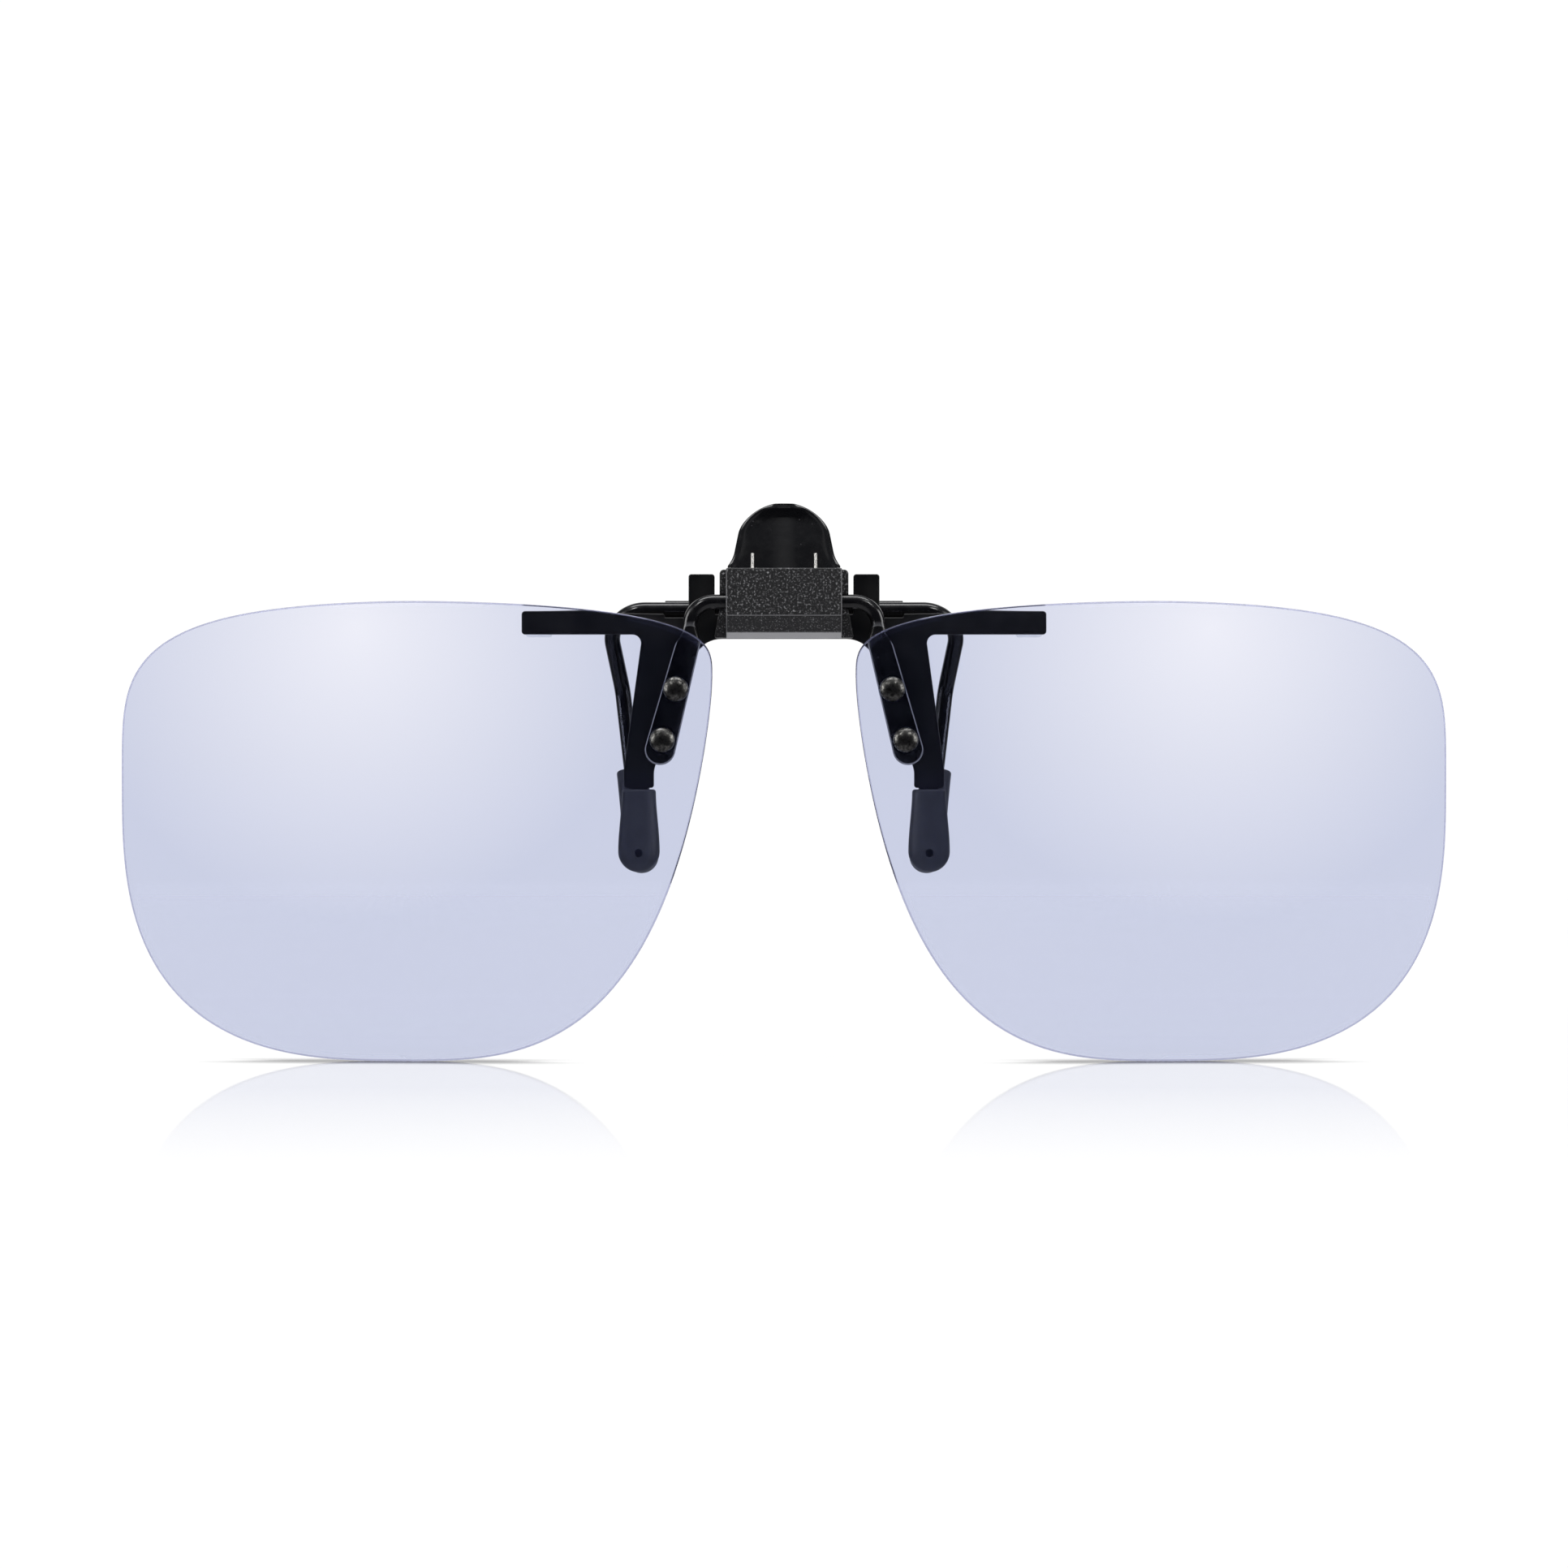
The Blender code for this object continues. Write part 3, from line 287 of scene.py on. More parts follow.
HOOK_INNER = JAW_WIRE / 2 + 0.08
HOOK_WALL = 0.8
SCREW_X = 4.4
SCREW_Z = -2.15
SCREW_HOLE = 0.96


def smooth(value, low, high):
    """0 below low, 1 above high, and an even S between them."""
    share = min(max((value - low) / (high - low), 0), 1)
    return share * share * (3 - 2 * share)


def rounded_path(corners, closed=False, step=math.radians(7)):
    """Runs through the corners, each a (point, radius), with an arc of that radius at each of them."""
    path = []
    count = len(corners)
    for i, (corner, radius) in enumerate(corners):
        if radius == 0 or (not closed and i in (0, count - 1)):
            path.append(corner.copy())
            continue
        back = (corners[i - 1][0] - corner).normalized()
        ahead = (corners[(i + 1) % count][0] - corner).normalized()
        half = back.angle(ahead) / 2
        turn = math.pi - 2 * half
        centre = corner + (back + ahead).normalized() * radius / math.sin(half)
        start = corner + back * radius / math.tan(half) - centre
        end = corner + ahead * radius / math.tan(half) - centre
        steps = max(2, round(turn / step))
        for k in range(steps + 1):
            near, far = math.sin((1 - k / steps) * turn), math.sin(k / steps * turn)
            path.append(centre + (start * near + end * far) / math.sin(turn))
    return path


def add_skin(bm, rings):
    """Skins closed rings of points, and caps both ends."""
    loops = [[bm.verts.new(point) for point in ring] for ring in rings]
    for near, far in zip(loops, loops[1:]):
        for i in range(len(near)):
            j = (i + 1) % len(near)
            bm.faces.new((near[i], near[j], far[j], far[i]))
    bm.faces.new(loops[0])
    bm.faces.new(reversed(loops[-1]))


def skin(rings):
    bm = bmesh.new()
    add_skin(bm, rings)
    return bm


def piece_from(name, bm, finish):
    """Makes a piece from a mesh in millimetres, with its faces outwards."""
    bmesh.ops.recalc_face_normals(bm, faces=bm.faces)
    bmesh.ops.transform(bm, matrix=Matrix.Scale(MM, 4), verts=bm.verts)
    mesh = bpy.data.meshes.new(name)
    bm.to_mesh(mesh)
    bm.free()
    mesh.shade_smooth()
    mesh.set_sharp_from_angle(angle=math.radians(38))
    if finish:
        mesh.materials.append(finish)
    return add_to_scene(name, mesh)


def settle(piece):
    """Turns a piece and its modifiers into one plain mesh."""
    graph = bpy.context.evaluated_depsgraph_get()
    mesh = bpy.data.meshes.new_from_object(
        piece.evaluated_get(graph), preserve_all_data_layers=True, depsgraph=graph
    )
    piece.modifiers.clear()
    piece.data = mesh
    return piece


def round_edges(piece, width, segments=3):
    """Rounds a piece's sharp edges, and keeps its flat faces flat to the eye."""
    bevel = piece.modifiers.new("edges", "BEVEL")
    bevel.width = width * MM
    bevel.segments = segments
    bevel.limit_method = "ANGLE"
    bevel.angle_limit = math.radians(38)
    bevel.use_clamp_overlap = False
    bevel.harden_normals = True
    return settle(piece)


def carve(piece, cutters, operation="DIFFERENCE"):
    """Cuts tool meshes out of a piece, or joins them to it."""
    tools = [piece_from("tool", cutter, None) for cutter in cutters]
    for tool in tools:
        cut = piece.modifiers.new("cut", "BOOLEAN")
        cut.operation = operation
        cut.object = tool
    settle(piece)
    for tool in tools:
        bpy.data.objects.remove(tool)
    piece.data.set_sharp_from_angle(angle=math.radians(38))
    even = piece.modifiers.new("flat_faces", "WEIGHTED_NORMAL")
    even.keep_sharp = True
    return settle(piece)


def ring_points(centre, across, up, half_across, half_up, sides, power=2.0):
    """A closed ring: an ellipse at power 2, and squarer as the power rises."""
    points = []
    for i in range(sides):
        angle = 2 * math.pi * i / sides
        c, s = math.cos(angle), math.sin(angle)
        a = math.copysign(abs(c) ** (2 / power), c) * half_across
        b = math.copysign(abs(s) ** (2 / power), s) * half_up
        points.append(centre + across * a + up * b)
    return points


def rod(start, end, radius, sides=40):
    """A plain round bar for cutting holes."""
    along = (end - start).normalized()
    across = along.orthogonal().normalized()
    return skin([ring_points(p, across, along.cross(across), radius, radius, sides) for p in (start, end)])


def block(low, high):
    """A block for cutting recesses."""
    (x0, y0, z0), (x1, y1, z1) = low, high
    return skin([[Vector(p) for p in ((x, y0, z0), (x, y1, z0), (x, y1, z1), (x, y0, z1))] for x in (x0, x1)])


def plate_blank(edge):
    """The stamping before it is bent: its outline pulled in by the edge's rounding at both faces."""
    tongue, tongue_z = 1.0, TONGUE_FOOT_Z
    foot, knee_z = LEG_HALF_WIDTH, -16.6
    half = [
        (0, -0.5, 0), (POST_INNER_X, -0.5, 0.15), (POST_INNER_X, POST_TOP_Z, 0.3),
        (POST_OUTER_X, POST_TOP_Z, 0.3), (POST_OUTER_X, NOTCH_Z, 0.15), (NOTCH_OUTER_X, NOTCH_Z, 0.15),
        (NOTCH_OUTER_X, ARM_TOP_Z, 0.15), (ARM_X, -0.2, 0.35), (ARM_X, ARM_BOTTOM_Z, 0.35),
        (14.65, ARM_BOTTOM_Z, 0.9), (LEG_X + foot, knee_z, 2.5), (LEG_X + foot, LEG_FOOT_Z, 0.3),
        (LEG_X + tongue, LEG_FOOT_Z, 0.12), (LEG_X + tongue, tongue_z, 0.6), (LEG_X - tongue, tongue_z, 0.6),
        (LEG_X - tongue, LEG_FOOT_Z, 0.12), (LEG_X - foot, LEG_FOOT_Z, 0.3), (LEG_X - foot, knee_z, 2.5),
        (8.7, -3.05, 3.2), (0, -3.05, 0),
    ]
    right = rounded_path([(Vector((x, 0, z)), radius) for x, z, radius in half])[1:-1]
    outline = right + [Vector((-p.x, 0, p.z)) for p in reversed(right)]
    count = len(outline)
    inward = []
    for i, point in enumerate(outline):
        along = (outline[(i + 1) % count] - outline[i - 1]).normalized()
        inward.append(Vector((along.z, 0, -along.x)))
    rings = []
    steps = 3
    for face in (-1, 1):
        order = range(steps + 1) if face < 0 else range(steps, -1, -1)
        for k in order:
            turn = math.pi / 2 * k / steps
            pull = edge * (1 - math.sin(turn))
            y = face * (PLATE / 2 - edge * (1 - math.cos(turn)))
            rings.append([p + n * pull + Vector((0, y, 0)) for p, n in zip(outline, inward)])
    return skin(rings)


def hook(side):
    """A strip bent back from the arm's notch, under the rear wire and up behind it."""
    outer = HOOK_INNER + HOOK_WALL
    steps = 24
    first, last = -math.pi / 2, math.radians(38)
    turns = [first + (last - first) * k / steps for k in range(steps + 1)]
    under = [(JAW_AXIS.y + outer * math.cos(t), outer * math.sin(t)) for t in turns]
    over = [(JAW_AXIS.y + HOOK_INNER * math.cos(t), HOOK_INNER * math.sin(t)) for t in reversed(turns)]
    profile = [(0, -outer)] + under + over + [(0, -HOOK_INNER)]
    stretch = (side * POST_OUTER_X, side * NOTCH_OUTER_X)
    return skin([[Vector((x, y, z)) for y, z in profile] for x in stretch])


def start_finish(name, surface):
    """Starts a material with values on the shader's own sockets, and gives the piece's own coordinates."""
    material = bpy.data.materials.new(name)
    material.use_nodes = True
    shader = material.node_tree.nodes["Principled BSDF"]
    for socket, value in surface.items():
        shader.inputs[socket].default_value = value
    coordinates = add_node(material.node_tree, "ShaderNodeTexCoord").outputs["Object"]
    return material, material.node_tree, shader, coordinates


# Electrophoretic black coat on steel: thin, even and semi-gloss, with a faint orange peel about 0.35 mm
# across that breaks up its reflections, and a slightly duller film wherever it dried thinner.
black_e_coat, tree, shader, spot = start_finish(
    "black_e_coat_on_steel", {"Base Color": linear("#0c0c0e"), "Roughness": 0.36, "IOR": 1.5}
)
peel = add_node(tree, "ShaderNodeTexNoise", inputs={"Vector": spot, "Scale": 1 / (0.35 * MM), "Detail": 2.0})
film = add_node(tree, "ShaderNodeTexNoise", inputs={"Vector": spot, "Scale": 1 / (3 * MM), "Detail": 3.0})
dulled = add_node(
    tree, "ShaderNodeMapRange", inputs={"Value": film.outputs[0], 1: 0.35, 2: 0.65, 3: 0.3, 4: 0.44}
)
toned = add_node(
    tree, "ShaderNodeMix", {"data_type": "RGBA"},
    {0: film.outputs[0], 6: linear("#070709"), 7: linear("#0e0e10")},
)
raised = add_node(
    tree, "ShaderNodeBump", inputs={"Strength": 0.3, "Distance": 0.01 * MM, "Height": peel.outputs[0]}
)
tree.links.new(dulled.outputs[0], shader.inputs["Roughness"])
tree.links.new(toned.outputs[2], shader.inputs["Base Color"])
tree.links.new(raised.outputs[0], shader.inputs["Normal"])

plate = piece_from("stamped_front_jaw", plate_blank(PLATE_EDGE), black_e_coat)
hooks = []
for side in SIDES.values():
    bent = round_edges(piece_from("bent_strip", hook(side), None), 0.1)
    bm = bmesh.new()
    bm.from_mesh(bent.data)
    bmesh.ops.transform(bm, matrix=Matrix.Scale(1 / MM, 4), verts=bm.verts)
    bpy.data.objects.remove(bent)
    hooks.append(bm)
carve(plate, hooks, "UNION")
carve(
    plate,
    [
        rod(Vector((s * SCREW_X, -PLATE, SCREW_Z)), Vector((s * SCREW_X, PLATE, SCREW_Z)), SCREW_HOLE / 2)
        for s in SIDES.values()
    ],
)
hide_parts("front_jaw_plate")
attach(plate, "clip")

# ---------------------------------------------------------------- Housing base and cover
# Two injection mouldings in glass-filled black nylon. The base stands against the plate with its cheeks
# beside the cover; the cover carries the coarse grained face. They part on the flip axis and clasp the wire.
BASE_X = 6.64
BASE_FOOT_X = 7.2
BASE_TOP_Z = 4.03
BASE_BACK = -0.5
COVER_X = 5.96
COVER_TOP_Z = 4.1
COVER_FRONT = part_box("housing_cover")[0].y / MM
CHAMFER_TOP_Z = -0.76
CHAMFER_FOOT_Z = -2.44
CHAMFER_DEPTH = 1.35
HOUSING_FOOT_Z = -3.0
PARTING = 0.025
FLIP_WIRE = 1.5
SEAT = FLIP_WIRE / 2 + 0.08
CAVITY_X, CAVITY_LOW_Z, CAVITY_HIGH_Z = 4.6, -1.2, 2.7

# Spark-eroded nylon: a charcoal ground with grain about 0.2 mm across, its crests painted pale as highlights
# and its pits painted darker as shade.
# Below the chamfer's edge the tool was eroded finer, so the grain there is half as coarse and quieter. A
# painted highlight draws a pale line along the face's side edges and the chamfer's top edge, and the facet at
# the foot has no grain and is painted light grey as a painted reflection of the white floor.
grained_nylon, tree, shader, spot = start_finish(
    "spark_eroded_black_nylon", {"Base Color": linear("#2a2a2c"), "Roughness": 0.55, "IOR": 1.53}
)
height = add_node(tree, "ShaderNodeSeparateXYZ", inputs={0: spot})
coarse = add_node(
    tree, "ShaderNodeMapRange",
    inputs={"Value": height.outputs["Z"], 1: (CHAMFER_TOP_Z - 0.1) * MM, 2: (CHAMFER_TOP_Z + 0.1) * MM},
)
large = add_node(
    tree, "ShaderNodeTexNoise",
    inputs={"Vector": spot, "Scale": 1 / (0.22 * MM), "Detail": 4.0, "Roughness": 0.65},
)
small = add_node(
    tree, "ShaderNodeTexNoise",
    inputs={"Vector": spot, "Scale": 1 / (0.14 * MM), "Detail": 2.0, "Roughness": 0.5},
)
grain = add_node(
    tree, "ShaderNodeMix", {"data_type": "FLOAT"},
    {0: coarse.outputs[0], 2: small.outputs[0], 3: large.outputs[0]},
)
# Painted highlights: the grain's crests are coloured pale, as if they caught the light.
highlight_speck_start = add_node(tree, "ShaderNodeMapRange", inputs={"Value": coarse.outputs[0], 3: 0.58, 4: 0.54})
highlight_speck_full = add_node(tree, "ShaderNodeMapRange", inputs={"Value": coarse.outputs[0], 3: 0.98, 4: 0.78})
painted_crest_highlights = add_node(
    tree, "ShaderNodeMapRange",
    inputs={"Value": grain.outputs[0], 1: highlight_speck_start.outputs[0], 2: highlight_speck_full.outputs[0]},
)
# Painted shade: the grain's low places are coloured darker.
painted_pit_shade = add_node(
    tree, "ShaderNodeMapRange", inputs={"Value": grain.outputs[0], 1: 0.3, 2: 0.56, 3: 0.0, 4: 1.0}
)
ground = add_node(
    tree, "ShaderNodeMix", {"data_type": "RGBA"},
    {0: painted_pit_shade.outputs[0], 6: linear("#08080a"), 7: linear("#161619")},
)
grain_with_painted_highlights = add_node(
    tree, "ShaderNodeMix", {"data_type": "RGBA"},
    {0: painted_crest_highlights.outputs[0], 6: ground.outputs[2], 7: linear("#b0b0b4")},
)
slope = (CHAMFER_DEPTH / (CHAMFER_TOP_Z - CHAMFER_FOOT_Z)) * -1
under_face = add_node(
    tree, "ShaderNodeMath", {"operation": "MINIMUM"}, {0: height.outputs["Z"], 1: CHAMFER_TOP_Z * MM}
)
face_depth = add_node(
    tree, "ShaderNodeMath", {"operation": "MULTIPLY_ADD"},
    {0: under_face.outputs[0], 1: slope, 2: (COVER_FRONT - slope * CHAMFER_TOP_Z + 0.16) * MM},
)
on_face = add_node(
    tree, "ShaderNodeMath", {"operation": "LESS_THAN"}, {0: height.outputs["Y"], 1: face_depth.outputs[0]}
)
across = add_node(tree, "ShaderNodeMath", {"operation": "ABSOLUTE"}, {0: height.outputs["X"]})
side_edge = add_node(
    tree, "ShaderNodeMath", {"operation": "COMPARE"},
    {0: across.outputs[0], 1: (COVER_X - 0.05) * MM, 2: 0.06 * MM},
)
fold = add_node(
    tree, "ShaderNodeMath", {"operation": "COMPARE"},
    {0: height.outputs["Z"], 1: CHAMFER_TOP_Z * MM, 2: 0.06 * MM},
)
either = add_node(
    tree, "ShaderNodeMath", {"operation": "MAXIMUM"}, {0: side_edge.outputs[0], 1: fold.outputs[0]}
)
# Painted highlight: a pale line along the face's side edges and the chamfer's top edge, where the rounded edges
# would catch the lamps.
edge_painted_highlight = add_node(
    tree, "ShaderNodeMath", {"operation": "MULTIPLY"}, {0: either.outputs[0], 1: on_face.outputs[0]}
)
edge_highlight_share = add_node(
    tree, "ShaderNodeMath", {"operation": "MULTIPLY"}, {0: edge_painted_highlight.outputs[0], 1: 0.34}
)
# Painted reflection: the facet at the foot is coloured light grey, as if it mirrored the white floor.
foot_low = add_node(
    tree, "ShaderNodeMapRange", inputs={"Value": height.outputs["Z"], 1: -2.42 * MM, 2: -2.54 * MM}
)
inside_cover = add_node(
    tree, "ShaderNodeMath", {"operation": "LESS_THAN"}, {0: across.outputs[0], 1: (COVER_X - 0.03) * MM}
)
foot = add_node(
    tree, "ShaderNodeMath", {"operation": "MULTIPLY"}, {0: foot_low.outputs[0], 1: inside_cover.outputs[0]}
)
tone_with_painted_edge_highlight = add_node(
    tree, "ShaderNodeMix", {"data_type": "RGBA"},
    {0: edge_highlight_share.outputs[0], 6: grain_with_painted_highlights.outputs[2], 7: linear("#8a8a8e")},
)
foot_painted_floor_reflection = add_node(
    tree, "ShaderNodeMix", {"data_type": "RGBA"},
    {0: foot.outputs[0], 6: tone_with_painted_edge_highlight.outputs[2], 7: linear("#8e8e92")},
)
eroded = add_node(
    tree, "ShaderNodeBump", inputs={"Strength": 0.55, "Distance": 0.05 * MM, "Height": grain.outputs[0]}
)
tree.links.new(foot_painted_floor_reflection.outputs[2], shader.inputs["Base Color"])
tree.links.new(eroded.outputs[0], shader.inputs["Normal"])


def seat_cutter(reach):
    """The bearing that the bridge wire turns in."""
    return rod(
        Vector((-reach, FLIP_AXIS.y, FLIP_AXIS.z)), Vector((reach, FLIP_AXIS.y, FLIP_AXIS.z)), SEAT, 48
    )


base_front = FLIP_AXIS.y + PARTING
half = rounded_path(
    [
        (Vector((0, 0, BASE_TOP_Z)), 0),
        (Vector((BASE_X, 0, BASE_TOP_Z)), 0.45),
        (Vector((BASE_X, 0, -0.1)), 0.4),
        (Vector((BASE_FOOT_X, 0, HOUSING_FOOT_Z)), 0.2),
        (Vector((0, 0, HOUSING_FOOT_Z)), 0),
    ]
)[1:-1]
outline = half + [Vector((-p.x, 0, p.z)) for p in reversed(half)]
rear_shell = piece_from(
    "housing_rear_shell", skin([[p + Vector((0, y, 0)) for p in outline] for y in (base_front, BASE_BACK)]),
    grained_nylon,
)
round_edges(rear_shell, 0.14)
carve(
    rear_shell,
    [
        block((-CAVITY_X, base_front - 1, CAVITY_LOW_Z), (CAVITY_X, -1.3, CAVITY_HIGH_Z)),
        seat_cutter(BASE_FOOT_X + 1),
    ],
)
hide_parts("housing_base")
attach(rear_shell, "clip")

cover_back = FLIP_AXIS.y - PARTING
side_profile = [
    (COVER_FRONT, COVER_TOP_Z), (COVER_FRONT, CHAMFER_TOP_Z), (COVER_FRONT + CHAMFER_DEPTH, CHAMFER_FOOT_Z),
    (cover_back, HOUSING_FOOT_Z), (cover_back, COVER_TOP_Z),
]
front_shell = piece_from(
    "housing_front_shell", skin([[Vector((x, y, z)) for y, z in side_profile] for x in (-COVER_X, COVER_X)]),
    grained_nylon,
)
front_shell.data.set_sharp_from_angle(angle=math.radians(10))
bevel = front_shell.modifiers.new("edges", "BEVEL")
bevel.width = 0.16 * MM
bevel.segments = 3
bevel.limit_method = "ANGLE"
bevel.angle_limit = math.radians(20)
bevel.harden_normals = True
settle(front_shell)
carve(
    front_shell,
    [
        block((-CAVITY_X, COVER_FRONT + 1, CAVITY_LOW_Z), (CAVITY_X, cover_back + 1, CAVITY_HIGH_Z)),
        seat_cutter(COVER_X + 1),
    ],
)
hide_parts("housing_cover")
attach(front_shell, "clip")

# ---------------------------------------------------------------- Detent leaf
# A strip of bright spring steel bowed behind the bridge wire's square, inside the housing. It holds the
# lenses up or down. Only its ends show, through the seats.
# Rolled spring steel: bright and grey, with fine lines of the drawing die along it that blur what it mirrors.
spring_steel, tree, shader, spot = start_finish(
    "drawn_spring_steel", {"Base Color": linear("#c4c2bd"), "Metallic": 1.0, "Roughness": 0.24}
)
drawn = add_node(tree, "ShaderNodeTexNoise", inputs={"Vector": spot, "Scale": 1 / (0.12 * MM), "Detail": 2.0})
bright = add_node(
    tree, "ShaderNodeMapRange", inputs={"Value": drawn.outputs[0], 1: 0.3, 2: 0.7, 3: 0.24, 4: 0.34}
)
greyed = add_node(
    tree, "ShaderNodeMix", {"data_type": "RGBA"},
    {0: drawn.outputs[0], 6: linear("#bab8b4"), 7: linear("#d4d2ce")},
)
tree.links.new(bright.outputs[0], shader.inputs["Roughness"])
tree.links.new(greyed.outputs[2], shader.inputs["Base Color"])
leaf = frame["nodes"]["flip_detent_leaf"]
leaf.data.materials.clear()
leaf.data.materials.append(spring_steel)

# ---------------------------------------------------------------- Housing screws
# Two slotted pan-head screws, turned from steel rod, driven from behind through the plate and the base into
# the cover. They hold the housing together and to the plate.
SCREW_HEAD = 1.5
SCREW_HEAD_HEIGHT = 0.42


def start_tree(name, sizes):
    """Starts a Geometry Nodes tree with one named input for each size, and a material input."""
    tree = bpy.data.node_groups.new(name, "GeometryNodeTree")
    tree.interface.new_socket("Geometry", in_out="INPUT", socket_type="NodeSocketGeometry")
    for size in sizes:
        tree.interface.new_socket(size, in_out="INPUT", socket_type="NodeSocketFloat")
    tree.interface.new_socket("Finish", in_out="INPUT", socket_type="NodeSocketMaterial")
    tree.interface.new_socket("Geometry", in_out="OUTPUT", socket_type="NodeSocketGeometry")
    return tree, add_node(tree, "NodeGroupInput").outputs


def end_tree(tree, geometry, finish):
    """Realises what the tree made and gives it its material."""
    real = add_node(tree, "GeometryNodeRealizeInstances", inputs={"Geometry": geometry})
    shown = add_node(
        tree, "GeometryNodeSetMaterial", inputs={"Geometry": real.outputs[0], "Material": finish}
    )
    add_node(tree, "NodeGroupOutput", inputs={0: shown.outputs[0]})


def grow(name, points, edges, tree, values, finish):
    """Runs a tree on a few points or a line of them, in millimetres, and keeps the plain mesh."""
    seed = bpy.data.meshes.new(name)
    seed.from_pydata([Vector(p) * MM for p in points], edges, [])
    piece = add_to_scene(name, seed)
    nodes = piece.modifiers.new(tree.name, "NODES")
    nodes.node_group = tree
    for socket in tree.interface.items_tree:
        if socket.in_out == "INPUT" and socket.name in values:
            nodes[socket.identifier] = values[socket.name] * MM
        elif socket.in_out == "INPUT" and socket.name == "Finish":
            nodes[socket.identifier] = finish
    settle(piece)
    piece.data.shade_smooth()
    piece.data.set_sharp_from_angle(angle=math.radians(38))
    return piece


def across_y(tree, geometry):
    """Turns what stands along Z so that its top faces the front."""
    return add_node(
        tree, "GeometryNodeTransform", inputs={"Geometry": geometry, "Rotation": (math.radians(90), 0, 0)}
    ).outputs[0]


def copies(tree, geometry, points):
    """One copy at each point."""
    return add_node(
        tree, "GeometryNodeInstanceOnPoints", inputs={"Points": points, "Instance": geometry}
    ).outputs[0]


def scaled(tree, size, factor):
    """A size times a plain number."""
    return add_node(tree, "ShaderNodeMath", {"operation": "MULTIPLY"}, {0: size, 1: factor}).outputs[0]


def upright(tree, z):
    """A place on the Z axis."""
    return add_node(tree, "ShaderNodeCombineXYZ", inputs={"Z": z}).outputs[0]


screw_tree, size = start_tree(
    "slotted_screw", ("Head diameter", "Head height", "Shank diameter", "Shank length")
)
shank = add_node(
    screw_tree, "GeometryNodeMeshCylinder",
    inputs={
        "Vertices": 32, "Radius": scaled(screw_tree, size["Shank diameter"], 0.5),
        "Depth": size["Shank length"],
    },
)
shank = add_node(
    screw_tree, "GeometryNodeTransform",
    inputs={
        "Geometry": shank.outputs["Mesh"],
        "Translation": upright(screw_tree, scaled(screw_tree, size["Shank length"], 0.5)),
    },
)
pan = add_node(
    screw_tree, "GeometryNodeMeshCone",
    inputs={
        "Vertices": 48, "Radius Top": scaled(screw_tree, size["Head diameter"], 0.5),
        "Radius Bottom": scaled(screw_tree, size["Head diameter"], 0.4), "Depth": size["Head height"],
    },
)
pan = add_node(
    screw_tree, "GeometryNodeTransform",
    inputs={
        "Geometry": pan.outputs["Mesh"],
        "Translation": upright(screw_tree, scaled(screw_tree, size["Head height"], -1.0)),
    },
)
driver = add_node(
    screw_tree,
    "GeometryNodeMeshCube",
    inputs={
        "Size": add_node(
            screw_tree,
            "ShaderNodeCombineXYZ",
            inputs={
                "X": scaled(screw_tree, size["Head diameter"], 0.17),
                "Y": scaled(screw_tree, size["Head diameter"], 2.0),
                "Z": size["Head height"],
            },
        ).outputs[0]
    },
)
driver = add_node(
    screw_tree, "GeometryNodeTransform",
    inputs={
        "Geometry": driver.outputs["Mesh"],
        "Translation": upright(screw_tree, scaled(screw_tree, size["Head height"], -1.05)),
    },
)
slotted = add_node(
    screw_tree, "GeometryNodeMeshBoolean", {"operation": "DIFFERENCE"},
    {"Mesh 1": pan.outputs[0], "Mesh 2": driver.outputs[0]},
)
whole = add_node(screw_tree, "GeometryNodeJoinGeometry", inputs={0: shank.outputs[0]})
screw_tree.links.new(slotted.outputs["Mesh"], whole.inputs[0])
end_tree(
    screw_tree, copies(screw_tree, across_y(screw_tree, whole.outputs[0]), size["Geometry"]), size["Finish"]
)

screw_low, screw_high = (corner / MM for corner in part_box("housing_screw_left"))
screw_seat = screw_high.y - SCREW_HEAD_HEIGHT
screws = grow(
    "housing_screws", [(side * SCREW_X, screw_seat, SCREW_Z) for side in SIDES.values()], [], screw_tree,
    {
        "Head diameter": SCREW_HEAD, "Head height": SCREW_HEAD_HEIGHT, "Shank diameter": 0.8,
        "Shank length": screw_seat - screw_low.y,
    },
    spring_steel,
)
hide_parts("housing_screw_left", "housing_screw_right")
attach(screws, "clip")

# ---------------------------------------------------------------- Bridge wire
# One 1.5 mm steel wire, which is also the flip axle: round in the housing's seats, square in the middle for
# the detent, and pressed flat at both ends into paddles that the lenses are riveted to. Coated gloss black.
FLIP_BEND = 2.45
FLIP_DROP_X = 9.7
PADDLE_TOP_Z = -2.9
PADDLE_LEAN = math.radians(14.7)
PADDLE_LENGTH = 13.6
PADDLE_NECK_WIDTH = 2.45
PADDLE_END_WIDTH = 3.25
PADDLE_THICKNESS = 0.8
PADDLE_FRONT = FLIP_AXIS.y - FLIP_WIRE / 2
EDGE_HIGHLIGHT_WIDTH = 0.13
CAM_HALF = 0.68
CAM_HALF_LENGTH = 1.3
RIVETS = [f"rivet_{place}_{side}" for side in SIDES for place in ("upper", "lower")]
RIVET_CENTRES = [sum(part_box(name), Vector()) / 2 / MM for name in RIVETS]
RIVET_HOLE = 1.3

